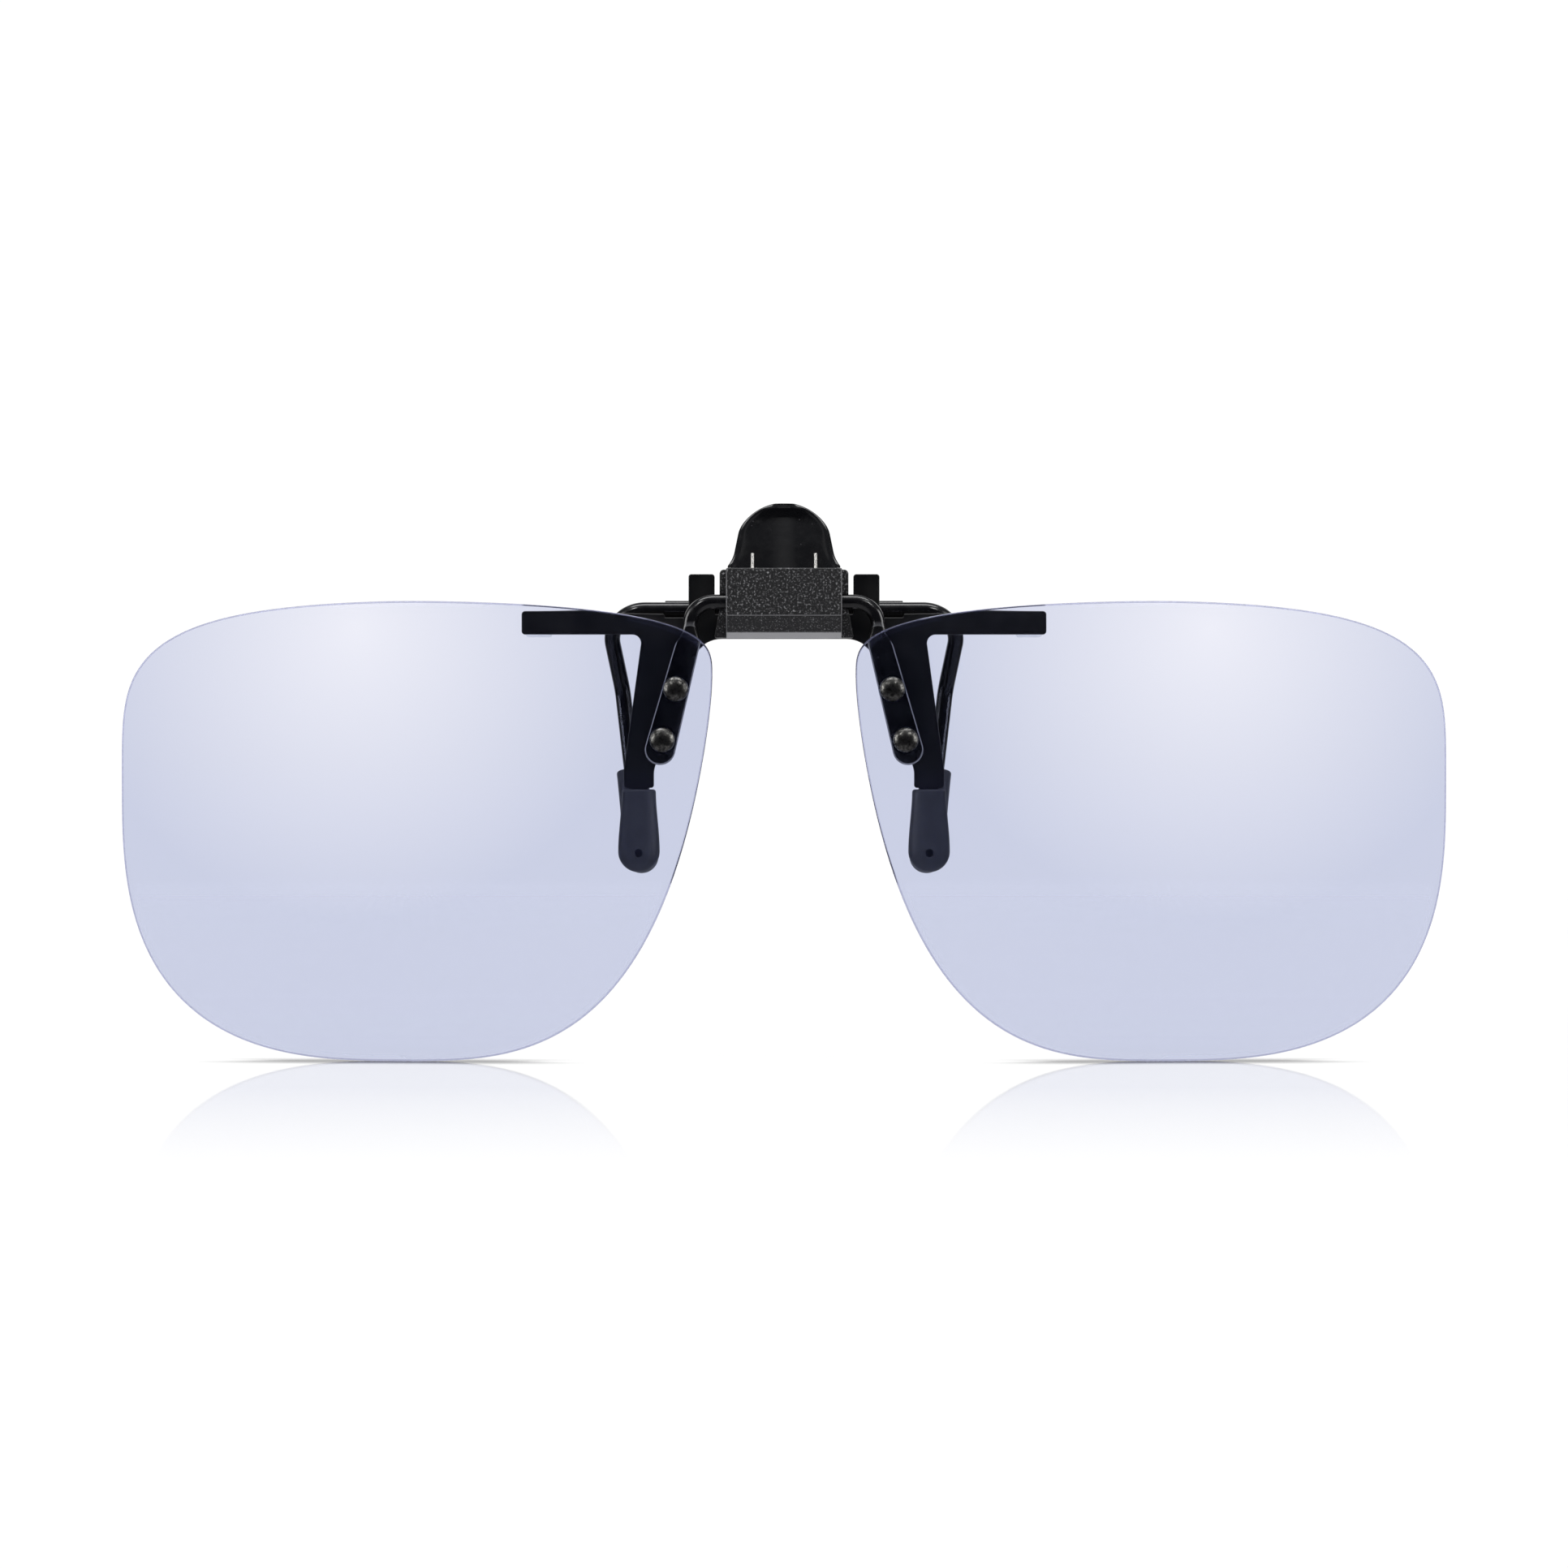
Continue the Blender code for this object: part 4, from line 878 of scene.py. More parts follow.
# Gloss black coat over drawn wire: deep black, with long soft lights on the bends, and a little dulled
# where fingers and the housing rub it. A painted highlight draws a pale line round the paddles' front edges.
gloss_coat, tree, shader, spot = start_finish(
    "gloss_black_coat_on_wire", {"Base Color": linear("#0b0b0d"), "Roughness": 0.2, "IOR": 1.55}
)
rubbed = add_node(tree, "ShaderNodeTexNoise", inputs={"Vector": spot, "Scale": 1 / (1.6 * MM), "Detail": 4.0})
polish = add_node(
    tree, "ShaderNodeMapRange", inputs={"Value": rubbed.outputs[0], 1: 0.35, 2: 0.7, 3: 0.14, 4: 0.3}
)
deep = add_node(
    tree, "ShaderNodeMix", {"data_type": "RGBA"},
    {0: rubbed.outputs[0], 6: linear("#08080a"), 7: linear("#111113")},
)
die_lines = add_node(
    tree, "ShaderNodeTexNoise", inputs={"Vector": spot, "Scale": 1 / (0.3 * MM), "Detail": 2.0}
)
uneven = add_node(
    tree, "ShaderNodeBump", inputs={"Strength": 0.2, "Distance": 0.006 * MM, "Height": die_lines.outputs[0]}
)
split = add_node(tree, "ShaderNodeSeparateXYZ", inputs={0: spot})
mirrored_x = add_node(tree, "ShaderNodeMath", {"operation": "ABSOLUTE"}, {0: split.outputs["X"]})
on_paddle = add_node(
    tree, "ShaderNodeVectorMath", {"operation": "SUBTRACT"},
    {
        0: add_node(
            tree, "ShaderNodeCombineXYZ", inputs={"X": mirrored_x.outputs[0], "Z": split.outputs["Z"]}
        ).outputs[0],
        1: (FLIP_DROP_X * MM, 0, PADDLE_TOP_Z * MM),
    },
)
down_way = Vector((math.sin(PADDLE_LEAN), 0, -math.cos(PADDLE_LEAN)))
down_paddle = add_node(
    tree, "ShaderNodeVectorMath", {"operation": "DOT_PRODUCT"}, {0: on_paddle.outputs[0], 1: down_way}
)
centre_line = add_node(
    tree, "ShaderNodeClamp",
    inputs={
        "Value": down_paddle.outputs["Value"], "Min": 0.0, "Max": (PADDLE_LENGTH - PADDLE_END_WIDTH / 2) * MM
    },
)
nearest = add_node(
    tree, "ShaderNodeVectorMath", {"operation": "SCALE"}, {0: down_way, "Scale": centre_line.outputs[0]}
)
off_line = add_node(
    tree, "ShaderNodeVectorMath", {"operation": "DISTANCE"}, {0: on_paddle.outputs[0], 1: nearest.outputs[0]}
)
half_wide_there = add_node(
    tree, "ShaderNodeMath", {"operation": "MULTIPLY_ADD"},
    {
        0: centre_line.outputs[0], 1: (PADDLE_END_WIDTH - PADDLE_NECK_WIDTH) / 2 / PADDLE_LENGTH,
        2: (PADDLE_NECK_WIDTH / 2 - EDGE_HIGHLIGHT_WIDTH) * MM,
    },
)
# Painted highlight: a pale line painted round the paddles' front edges, standing in for the light their rounded
# edges would catch.
at_edge = add_node(
    tree, "ShaderNodeMath", {"operation": "GREATER_THAN"},
    {0: off_line.outputs["Value"], 1: half_wide_there.outputs[0]},
)
at_front = add_node(
    tree, "ShaderNodeMath", {"operation": "LESS_THAN"}, {0: split.outputs["Y"], 1: (PADDLE_FRONT + 0.2) * MM}
)
below_bend = add_node(
    tree, "ShaderNodeMapRange",
    inputs={"Value": split.outputs["Z"], 1: (PADDLE_TOP_Z + 1.6) * MM, 2: PADDLE_TOP_Z * MM},
)
highlight_edge_band = add_node(
    tree, "ShaderNodeMath", {"operation": "MULTIPLY"}, {0: at_edge.outputs[0], 1: at_front.outputs[0]}
)
painted_edge_highlight = add_node(
    tree, "ShaderNodeMath", {"operation": "MULTIPLY"}, {0: highlight_edge_band.outputs[0], 1: below_bend.outputs[0]}
)
coat_or_painted_highlight = add_node(
    tree, "ShaderNodeMix", {"data_type": "RGBA"},
    {0: painted_edge_highlight.outputs[0], 6: deep.outputs[2], 7: linear("#85868c")},
)
tree.links.new(polish.outputs[0], shader.inputs["Roughness"])
tree.links.new(coat_or_painted_highlight.outputs[2], shader.inputs["Base Color"])
tree.links.new(uneven.outputs[0], shader.inputs["Normal"])


def bridge_half(side):
    """Rings of one half of the bridge wire, from the middle of its square out to the paddle's end."""
    sides, deep_way = 48, Vector((0, 1, 0))
    radius = FLIP_WIRE / 2
    rings = []
    for x, half, power in (
        (0, CAM_HALF, 5), (CAM_HALF_LENGTH, CAM_HALF, 5),
        (CAM_HALF_LENGTH + 0.25, (CAM_HALF + radius) / 2, 2.8), (CAM_HALF_LENGTH + 0.5, radius, 2),
    ):
        centre = Vector((side * x, FLIP_AXIS.y, FLIP_AXIS.z))
        rings.append(ring_points(centre, deep_way, Vector((0, 0, 1)), half, half, sides, power))
    lean = Vector((side * math.sin(PADDLE_LEAN), 0, -math.cos(PADDLE_LEAN)))
    top = Vector((side * FLIP_DROP_X, FLIP_AXIS.y, PADDLE_TOP_Z))
    end = top + lean * PADDLE_LENGTH
    path = rounded_path(
        [
            (Vector((side * (CAM_HALF_LENGTH + 1), FLIP_AXIS.y, FLIP_AXIS.z)), 0),
            (Vector((side * FLIP_DROP_X, FLIP_AXIS.y, FLIP_AXIS.z)), FLIP_BEND), (top, 2.0), (end, 0),
        ],
        step=math.radians(4),
    )[:-1]
    last = path[-1]
    round_start = end - lean * PADDLE_END_WIDTH / 2
    path += [last.lerp(round_start, k / 12) for k in range(1, 13)]
    for angle in (15, 30, 43, 55, 65, 74, 81, 86):
        path.append(end - lean * PADDLE_END_WIDTH / 2 * (1 - math.sin(math.radians(angle))))
    neck_top = FLIP_AXIS.z - FLIP_BEND
    for i, point in enumerate(path):
        along = (path[min(i + 1, len(path) - 1)] - path[max(i - 1, 0)]).normalized()
        down = (point - top).dot(lean)
        flat = smooth(neck_top - point.z, -0.2, neck_top - PADDLE_TOP_Z + 1.4)
        wide = PADDLE_NECK_WIDTH + (
            PADDLE_END_WIDTH - PADDLE_NECK_WIDTH
        ) * min(max(down / PADDLE_LENGTH, 0), 1)
        half_wide = (FLIP_WIRE + (wide - FLIP_WIRE) * flat) / 2
        half_deep = (FLIP_WIRE + (PADDLE_THICKNESS - FLIP_WIRE) * flat) / 2
        to_end = PADDLE_LENGTH - down
        if to_end < PADDLE_END_WIDTH / 2:
            half_wide *= math.sqrt(1 - (1 - 2 * to_end / PADDLE_END_WIDTH) ** 2)
        flush = Vector((point.x, PADDLE_FRONT + half_deep, point.z))
        width_way = deep_way.cross(along) * side
        rings.append(ring_points(flush, deep_way, width_way, half_deep, half_wide, sides, 2 + 3 * flat))
    return rings


bridge = piece_from("bridge_wire", skin(bridge_half(-1)[:0:-1] + bridge_half(1)), gloss_coat)
carve(
    bridge,
    [
        rod(Vector((c.x, PADDLE_FRONT - 1, c.z)), Vector((c.x, PADDLE_FRONT + 2, c.z)), RIVET_HOLE / 2)
        for c in RIVET_CENTRES
    ],
)
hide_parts("lens_bridge_wire")
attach(bridge, "lens_set")

# ---------------------------------------------------------------- Lenses
# Two rimless lenses in 1.3 mm polycarbonate, cut from a shallow spherical blank, tinted blue-violet and
# coated. The edge is ground, with a narrow bevel on both sides, and each has two holes for the rivets.
LENS_WIDTH = 61.15
LENS_HEIGHT = 47.4
LENS_THICKNESS = 1.3
LENS_RADIUS = 330.0
LENS_EDGE = 0.2
# Where the outline touches its box, as shares of the right-hand lens, and the powers of the four quarter
# curves between those places, each at its two ends, clockwise from the top.
LENS_TOP_AT = 0.51
LENS_TEMPLE_AT = 0.41
LENS_BOTTOM_AT = 0.53
LENS_NOSE_AT = 0.165
LENS_QUARTER_POWERS = ((2.2, 4.6), (2.8, 2.8), (3.0, 1.7), (3.4, 2.0))
LENS_QUARTER_POINTS = 60
LENS_LOW, LENS_HIGH = (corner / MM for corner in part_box("lens_right"))
LENS_BACK = PADDLE_FRONT - 0.35
LENS_FRONT = LENS_BACK - LENS_THICKNESS
# Centre and reach of the painted reflection that lightens each lens's colour in its upper middle.
PAINTED_GLOW_X, PAINTED_GLOW_Z = 44.0, -2.0
PAINTED_GLOW_REACH = 30.0

# Polycarbonate with a blue-violet tint, almost clear. A painted reflection lightens its colour in the upper
# middle, fading to the full tint 30 mm away. Polished, so it mirrors sharply, and faintly, as a coated lens
# does.
tinted, tree, shader, spot = start_finish(
    "tinted_coated_polycarbonate",
    {"Roughness": 0.0, "IOR": 1.585, "Transmission Weight": 1.0, "Specular Tint": linear("#5f6496")},
)
split = add_node(tree, "ShaderNodeSeparateXYZ", inputs={0: spot})
outward = add_node(tree, "ShaderNodeMath", {"operation": "ABSOLUTE"}, {0: split.outputs["X"]})
off_painted_glow = add_node(
    tree, "ShaderNodeVectorMath", {"operation": "DISTANCE"},
    {
        0: add_node(
            tree, "ShaderNodeCombineXYZ", inputs={"X": outward.outputs[0], "Z": split.outputs["Z"]}
        ).outputs[0],
        1: (PAINTED_GLOW_X * MM, 0, PAINTED_GLOW_Z * MM),
    },
)
painted_glow_falloff = add_node(
    tree, "ShaderNodeMapRange", inputs={"Value": off_painted_glow.outputs["Value"], 1: 0.0, 2: PAINTED_GLOW_REACH * MM}
)
# The lens tint, lightened by the painted reflection near its centre.
tint = add_node(
    tree, "ShaderNodeMix", {"data_type": "RGBA"},
    {0: painted_glow_falloff.outputs[0], 6: linear("#ecedf9"), 7: linear("#c9cee4")},
)
tree.links.new(tint.outputs[2], shader.inputs["Base Color"])

# The ground edge of the same polycarbonate: satin, so it holds back the light and draws a thin grey-violet
# line round the lens.
ground_edge, tree, shader, spot = start_finish(
    "ground_polycarbonate_edge",
    {"Roughness": 0.14, "IOR": 1.585, "Transmission Weight": 0.85, "Specular Tint": linear("#5f6496")},
)
wheel_marks = add_node(
    tree, "ShaderNodeTexNoise", inputs={"Vector": spot, "Scale": 1 / (0.4 * MM), "Detail": 2.0}
)
edge_tone = add_node(
    tree, "ShaderNodeMix", {"data_type": "RGBA"},
    {0: wheel_marks.outputs[0], 6: linear("#8b8db0"), 7: linear("#b9bcd8")},
)
tree.links.new(edge_tone.outputs[2], shader.inputs["Base Color"])


def lens_shares():
    """Points on the lens outline, clockwise from its top, as shares of its width and height."""
    places = ((LENS_TOP_AT, 0.0), (1.0, LENS_TEMPLE_AT), (LENS_BOTTOM_AT, 1.0), (0.0, LENS_NOSE_AT))
    shares = []
    for i, (start_power, end_power) in enumerate(LENS_QUARTER_POWERS):
        (x0, z0), (x1, z1) = places[i], places[(i + 1) % 4]
        middle_x, middle_z = (x0, z1) if i % 2 == 0 else (x1, z0)
        for k in range(LENS_QUARTER_POINTS):
            way = k / LENS_QUARTER_POINTS
            power = start_power + (end_power - start_power) * way
            near, far = math.cos(math.pi / 2 * way), math.sin(math.pi / 2 * way)
            reach = (near**power + far**power) ** (-1 / power)
            x = middle_x + ((x0 - middle_x) * near + (x1 - middle_x) * far) * reach
            z = middle_z + ((z0 - middle_z) * near + (z1 - middle_z) * far) * reach
            shares.append((x, z))
    return shares


def lens_mesh(side):
    """Front and back bowls over the outline, with a rounded and ground edge between them."""
    on_side = [c for c in RIVET_CENTRES if c.x * side > 0]
    vertex = (on_side[0] + on_side[1]) / 2
    outline = [
        Vector((side * (LENS_LOW.x + u * LENS_WIDTH), LENS_HIGH.z - v * LENS_HEIGHT))
        for u, v in lens_shares()
    ]
    middle = Vector((side * (LENS_LOW.x + LENS_WIDTH / 2), LENS_HIGH.z - LENS_HEIGHT / 2))

    def ring(share, inset, depth):
        points = []
        for point in outline:
            from_middle = point - middle
            flat = middle + from_middle * share - from_middle.normalized() * inset
            sag = ((flat.x - vertex.x) ** 2 + (flat.y - vertex.z) ** 2) / (2 * LENS_RADIUS)
            points.append(Vector((flat.x, LENS_FRONT + depth + sag, flat.y)))
        return points

    shares = [0.04] + [k / 14 for k in range(1, 14)] + [0.97]
    turns = [math.pi / 2 * k / 3 for k in range(4)]
    front = [ring(share, 0, 0) for share in shares]
    front_edge = [ring(1, LENS_EDGE * (1 - math.sin(t)), LENS_EDGE * (1 - math.cos(t))) for t in turns]
    back = [ring(share, 0, LENS_THICKNESS) for share in shares]
    back_edge = [
        ring(1, LENS_EDGE * (1 - math.sin(t)), LENS_THICKNESS - LENS_EDGE * (1 - math.cos(t))) for t in turns
    ]
    bm = skin(front + front_edge + back_edge[::-1] + back[::-1])
    bm.faces.ensure_lookup_table()
    around = len(outline)
    first_edge = (len(front)) * around
    last_edge = first_edge + (2 * len(turns) - 1) * around
    for face in bm.faces[first_edge:last_edge]:
        face.material_index = 1
    return bm


for side_name, side in SIDES.items():
    lens = piece_from(f"polycarbonate_lens_{side_name}", lens_mesh(side), tinted)
    lens.data.materials.append(ground_edge)
    carve(
        lens,
        [
            rod(Vector((c.x, LENS_FRONT - 1, c.z)), Vector((c.x, LENS_BACK + 1, c.z)), RIVET_HOLE / 2)
            for c in RIVET_CENTRES
            if c.x * side > 0
        ],
    )
    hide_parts(f"lens_{side_name}")
    lens.visible_diffuse = False
    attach(lens, "lens_set")

# ---------------------------------------------------------------- Washers
# Four clear silicone washers between the lenses and the paddles, so that the rivets don't craze the lens.
WASHER = 2.9
WASHER_THICKNESS = 0.25

# Clear silicone: soft, water-clear and a little cloudy, so its edges show as a pale ring.
clear_silicone, tree, shader, spot = start_finish(
    "clear_moulded_silicone", {"Roughness": 0.12, "IOR": 1.41, "Transmission Weight": 1.0}
)
haze = add_node(tree, "ShaderNodeTexNoise", inputs={"Vector": spot, "Scale": 1 / (0.8 * MM), "Detail": 2.0})
cloudy = add_node(
    tree, "ShaderNodeMix", {"data_type": "RGBA"},
    {0: haze.outputs[0], 6: linear("#dfe3ea"), 7: linear("#f4f6fa")},
)
tree.links.new(cloudy.outputs[2], shader.inputs["Base Color"])

washer_tree, size = start_tree("flat_washer", ("Outer diameter", "Hole diameter", "Thickness"))
both_rims = add_node(
    washer_tree, "ShaderNodeMath", {"operation": "ADD"}, {0: size["Outer diameter"], 1: size["Hole diameter"]}
)
wall = add_node(
    washer_tree, "ShaderNodeMath", {"operation": "SUBTRACT"},
    {0: size["Outer diameter"], 1: size["Hole diameter"]},
)
loop = add_node(
    washer_tree, "GeometryNodeCurvePrimitiveCircle",
    inputs={"Resolution": 48, "Radius": scaled(washer_tree, both_rims.outputs[0], 0.25)},
)
section = add_node(
    washer_tree, "GeometryNodeCurvePrimitiveQuadrilateral",
    inputs={"Width": scaled(washer_tree, wall.outputs[0], 0.5), "Height": size["Thickness"]},
)
disc = add_node(
    washer_tree, "GeometryNodeCurveToMesh", inputs={0: loop.outputs["Curve"], 1: section.outputs["Curve"]}
)
end_tree(
    washer_tree, copies(washer_tree, across_y(washer_tree, disc.outputs[0]), size["Geometry"]), size["Finish"]
)
washer_y = PADDLE_FRONT - 0.05 - WASHER_THICKNESS / 2
washers = grow(
    "lens_washers", [(c.x, washer_y, c.z) for c in RIVET_CENTRES], [], washer_tree,
    {"Outer diameter": WASHER, "Hole diameter": RIVET_HOLE, "Thickness": WASHER_THICKNESS}, clear_silicone,
)
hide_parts(*[name.replace("rivet", "washer") for name in RIVETS])
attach(washers, "lens_set")

# ---------------------------------------------------------------- Rivets
# Four domed rivets in blackened brass, pushed through lens, washer and paddle and headed over behind.
RIVET_HEAD = 2.6
RIVET_HEAD_HEIGHT = 0.75
RIVET_SHANK = 1.2
RIVET_TAIL = 2.0
RIVET_TAIL_HEIGHT = 0.45

# Gunmetal finish, tumbled: dark grey metal, worn brighter in patches about 0.3 mm across, with pits that
# break up the two lamps it mirrors.
gunmetal, tree, shader, spot = start_finish("tumbled_gunmetal", {"Metallic": 1.0, "Roughness": 0.34})
worn = add_node(
    tree, "ShaderNodeTexNoise",
    inputs={"Vector": spot, "Scale": 1 / (0.32 * MM), "Detail": 4.0, "Roughness": 0.6},
)
patches = add_node(tree, "ShaderNodeMapRange", inputs={"Value": worn.outputs[0], 1: 0.36, 2: 0.66})
metal_tone = add_node(
    tree, "ShaderNodeMix", {"data_type": "RGBA"},
    {0: patches.outputs[0], 6: linear("#242424"), 7: linear("#6e6d6a")},
)
metal_gloss = add_node(tree, "ShaderNodeMapRange", inputs={"Value": patches.outputs[0], 3: 0.4, 4: 0.25})
pitted = add_node(
    tree, "ShaderNodeBump", inputs={"Strength": 0.35, "Distance": 0.02 * MM, "Height": worn.outputs[0]}
)
tree.links.new(metal_tone.outputs[2], shader.inputs["Base Color"])
tree.links.new(metal_gloss.outputs[0], shader.inputs["Roughness"])
tree.links.new(pitted.outputs[0], shader.inputs["Normal"])

rivet_tree, size = start_tree(
    "domed_rivet",
    ("Head diameter", "Head height", "Shank diameter", "Shank length", "Tail diameter", "Tail height"),
)
ball = add_node(rivet_tree, "GeometryNodeMeshUVSphere", inputs={"Segments": 64, "Rings": 48, "Radius": 0.5})
stretched = add_node(
    rivet_tree, "GeometryNodeTransform",
    inputs={
        "Geometry": ball.outputs["Mesh"],
        "Scale": add_node(
            rivet_tree, "ShaderNodeCombineXYZ",
            inputs={
                "X": size["Head diameter"], "Y": size["Head diameter"],
                "Z": scaled(rivet_tree, size["Head height"], 2.0),
            },
        ).outputs[0],
    },
)
where = add_node(
    rivet_tree, "ShaderNodeSeparateXYZ",
    inputs={0: add_node(rivet_tree, "GeometryNodeInputPosition").outputs[0]},
)
lifted = add_node(rivet_tree, "ShaderNodeMath", {"operation": "MAXIMUM"}, {0: where.outputs["Z"], 1: 0.0})
dome = add_node(
    rivet_tree, "GeometryNodeSetPosition",
    inputs={
        "Geometry": stretched.outputs[0],
        "Position": add_node(
            rivet_tree, "ShaderNodeCombineXYZ",
            inputs={"X": where.outputs["X"], "Y": where.outputs["Y"], "Z": lifted.outputs[0]},
        ).outputs[0],
    },
)
stem = add_node(
    rivet_tree, "GeometryNodeMeshCylinder",
    inputs={
        "Vertices": 32, "Radius": scaled(rivet_tree, size["Shank diameter"], 0.5),
        "Depth": size["Shank length"],
    },
)
stem = add_node(
    rivet_tree, "GeometryNodeTransform",
    inputs={
        "Geometry": stem.outputs["Mesh"],
        "Translation": upright(rivet_tree, scaled(rivet_tree, size["Shank length"], -0.5)),
    },
)
tail = add_node(
    rivet_tree, "GeometryNodeMeshCone",
    inputs={
        "Vertices": 48, "Radius Top": scaled(rivet_tree, size["Tail diameter"], 0.5),
        "Radius Bottom": scaled(rivet_tree, size["Tail diameter"], 0.36), "Depth": size["Tail height"],
    },
)
behind_paddle = add_node(
    rivet_tree, "ShaderNodeMath", {"operation": "MULTIPLY_ADD"},
    {0: size["Shank length"], 1: -1.0, 2: scaled(rivet_tree, size["Tail height"], -1.0)},
)
tail = add_node(
    rivet_tree, "GeometryNodeTransform",
    inputs={"Geometry": tail.outputs["Mesh"], "Translation": upright(rivet_tree, behind_paddle.outputs[0])},
)
whole = add_node(rivet_tree, "GeometryNodeJoinGeometry", inputs={0: dome.outputs[0]})
rivet_tree.links.new(stem.outputs[0], whole.inputs[0])
rivet_tree.links.new(tail.outputs[0], whole.inputs[0])
end_tree(
    rivet_tree, copies(rivet_tree, across_y(rivet_tree, whole.outputs[0]), size["Geometry"]), size["Finish"]
)

rivet_low, rivet_high = (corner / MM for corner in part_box(RIVETS[0]))
head_seat = rivet_low.y + RIVET_HEAD_HEIGHT
rivets = grow(
    "lens_rivets", [(c.x, head_seat, c.z) for c in RIVET_CENTRES], [], rivet_tree,
    {
        "Head diameter": RIVET_HEAD, "Head height": RIVET_HEAD_HEIGHT, "Shank diameter": RIVET_SHANK,
        "Shank length": rivet_high.y - RIVET_TAIL_HEIGHT - head_seat, "Tail diameter": RIVET_TAIL,
        "Tail height": RIVET_TAIL_HEIGHT,
    },
    gunmetal,
)
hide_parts(*RIVETS)
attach(rivets, "lens_set")

# ---------------------------------------------------------------- Arm pads
# Two clear silicone pads glued behind the ends of the arms, where they rest on the spectacle frame.
for side_name, side in SIDES.items():
    low, high = (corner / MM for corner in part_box(f"arm_pad_{side_name}"))
    pad = piece_from(f"silicone_pad_{side_name}", block(low, high), clear_silicone)
    round_edges(pad, 0.28, 4)
    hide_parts(f"arm_pad_{side_name}")
    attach(pad, "clip")

# ---------------------------------------------------------------- Front tips
# Two dip-moulded vinyl caps pushed on the plate's tongues, so that it doesn't scratch the spectacles. Each
# has a small vent in its front, left by the moulding pin.
TIP_WIDTHS = (3.5, 4.3)
TIP_DEPTHS = (2.4, 2.9)
VENT = 0.85
VENT_DEPTH = 1.7
VENT_HEIGHT = 2.0

# Blue-black vinyl, matt: a broad soft light down its front, a fine bloom, and grain too small to see singly.
black_vinyl, tree, shader, spot = start_finish(
    "matt_blue_black_vinyl", {"Base Color": linear("#34363e"), "Roughness": 0.52, "IOR": 1.5}
)
bloom = add_node(tree, "ShaderNodeTexNoise", inputs={"Vector": spot, "Scale": 1 / (1.2 * MM), "Detail": 4.0})
vinyl_tone = add_node(
    tree, "ShaderNodeMix", {"data_type": "RGBA"},
    {0: bloom.outputs[0], 6: linear("#25272e"), 7: linear("#383a42")},
)
pores = add_node(tree, "ShaderNodeTexNoise", inputs={"Vector": spot, "Scale": 1 / (0.15 * MM), "Detail": 2.0})
skin_grain = add_node(
    tree, "ShaderNodeBump", inputs={"Strength": 0.25, "Distance": 0.02 * MM, "Height": pores.outputs[0]}
)
dry = add_node(
    tree, "ShaderNodeMapRange", inputs={"Value": bloom.outputs[0], 1: 0.3, 2: 0.7, 3: 0.44, 4: 0.6}
)
tree.links.new(vinyl_tone.outputs[2], shader.inputs["Base Color"])
tree.links.new(dry.outputs[0], shader.inputs["Roughness"])
tree.links.new(skin_grain.outputs[0], shader.inputs["Normal"])


def cap_rings(top, down, across, widths, depths, length):
    """Rings of a soft cap: a rounded mouth, a body that swells and a round end."""
    deep_way = across.cross(down)
    end = widths[1] / 2
    straight = length - end
    lip = 0.28
    stations = [(lip * (1 - math.cos(t)), lip * (1 - math.sin(t))) for t in (0, 0.4, 0.8, 1.2, math.pi / 2)]
    stations += [(lip + (straight - lip) * k / 10, 0) for k in range(1, 11)]
    rings = []
    for along, inset in stations:
        swell = smooth(along, 0, straight)
        half_wide = (widths[0] + (widths[1] - widths[0]) * swell) / 2 - inset
        half_deep = (depths[0] + (depths[1] - depths[0]) * swell) / 2 - inset
        rings.append(ring_points(top + down * along, across, deep_way, half_wide, half_deep, 56, 2.3))
    for angle in range(6, 90, 6):
        share = math.cos(math.radians(angle))
        along = straight + end * math.sin(math.radians(angle))
        half_wide, half_deep = widths[1] / 2 * share, depths[1] / 2 * share
        rings.append(ring_points(top + down * along, across, deep_way, half_wide, half_deep, 56, 2.3))
    return rings


for side_name, side in SIDES.items():
    low, high = (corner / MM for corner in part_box(f"front_tip_{side_name}"))
    top = Vector((side * LEG_X, 0, high.z))
    rings = cap_rings(top, Vector((0, 0, -1)), Vector((1, 0, 0)), TIP_WIDTHS, TIP_DEPTHS, high.z - low.z)
    tip = piece_from(f"front_vinyl_tip_{side_name}", skin(rings), black_vinyl)
    vent = Vector((top.x, -TIP_DEPTHS[1] / 2, low.z + VENT_HEIGHT))
    carve(
        tip,
        [
            block((top.x - 1.05, -0.5, TONGUE_FOOT_Z - 0.05), (top.x + 1.05, 0.5, high.z + 1)),
            rod(vent - Vector((0, 1, 0)), vent + Vector((0, VENT_DEPTH, 0)), VENT / 2, 32),
        ],
    )
    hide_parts(f"front_tip_{side_name}")
    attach(tip, "clip")

# ---------------------------------------------------------------- Rear jaw wire
# One 1.65 mm steel wire, bent to shape: its straight run turns in the plate's hooks, and each leg bows back
# behind the spectacle lens and comes forward to its soft tip. Coated gloss black like the bridge wire.
JAW_BEND = 3.4
JAW_CORNER_X = 18.5
JAW_KINK = Vector((16.85, 6.402, -8.3))
JAW_END = Vector((14.75, 3.35, -26.0))

wire_tree, size = start_tree("round_wire", ("Wire diameter",))
line = add_node(wire_tree, "GeometryNodeMeshToCurve", inputs={0: size["Geometry"]})
round_section = add_node(
    wire_tree, "GeometryNodeCurvePrimitiveCircle",
    inputs={"Resolution": 32, "Radius": scaled(wire_tree, size["Wire diameter"], 0.5)},
)
drawn_wire = add_node(
    wire_tree, "GeometryNodeCurveToMesh", inputs={0: line.outputs[0], 1: round_section.outputs["Curve"]}
)
drawn_wire.inputs["Fill Caps"].default_value = True
end_tree(wire_tree, drawn_wire.outputs[0], size["Finish"])


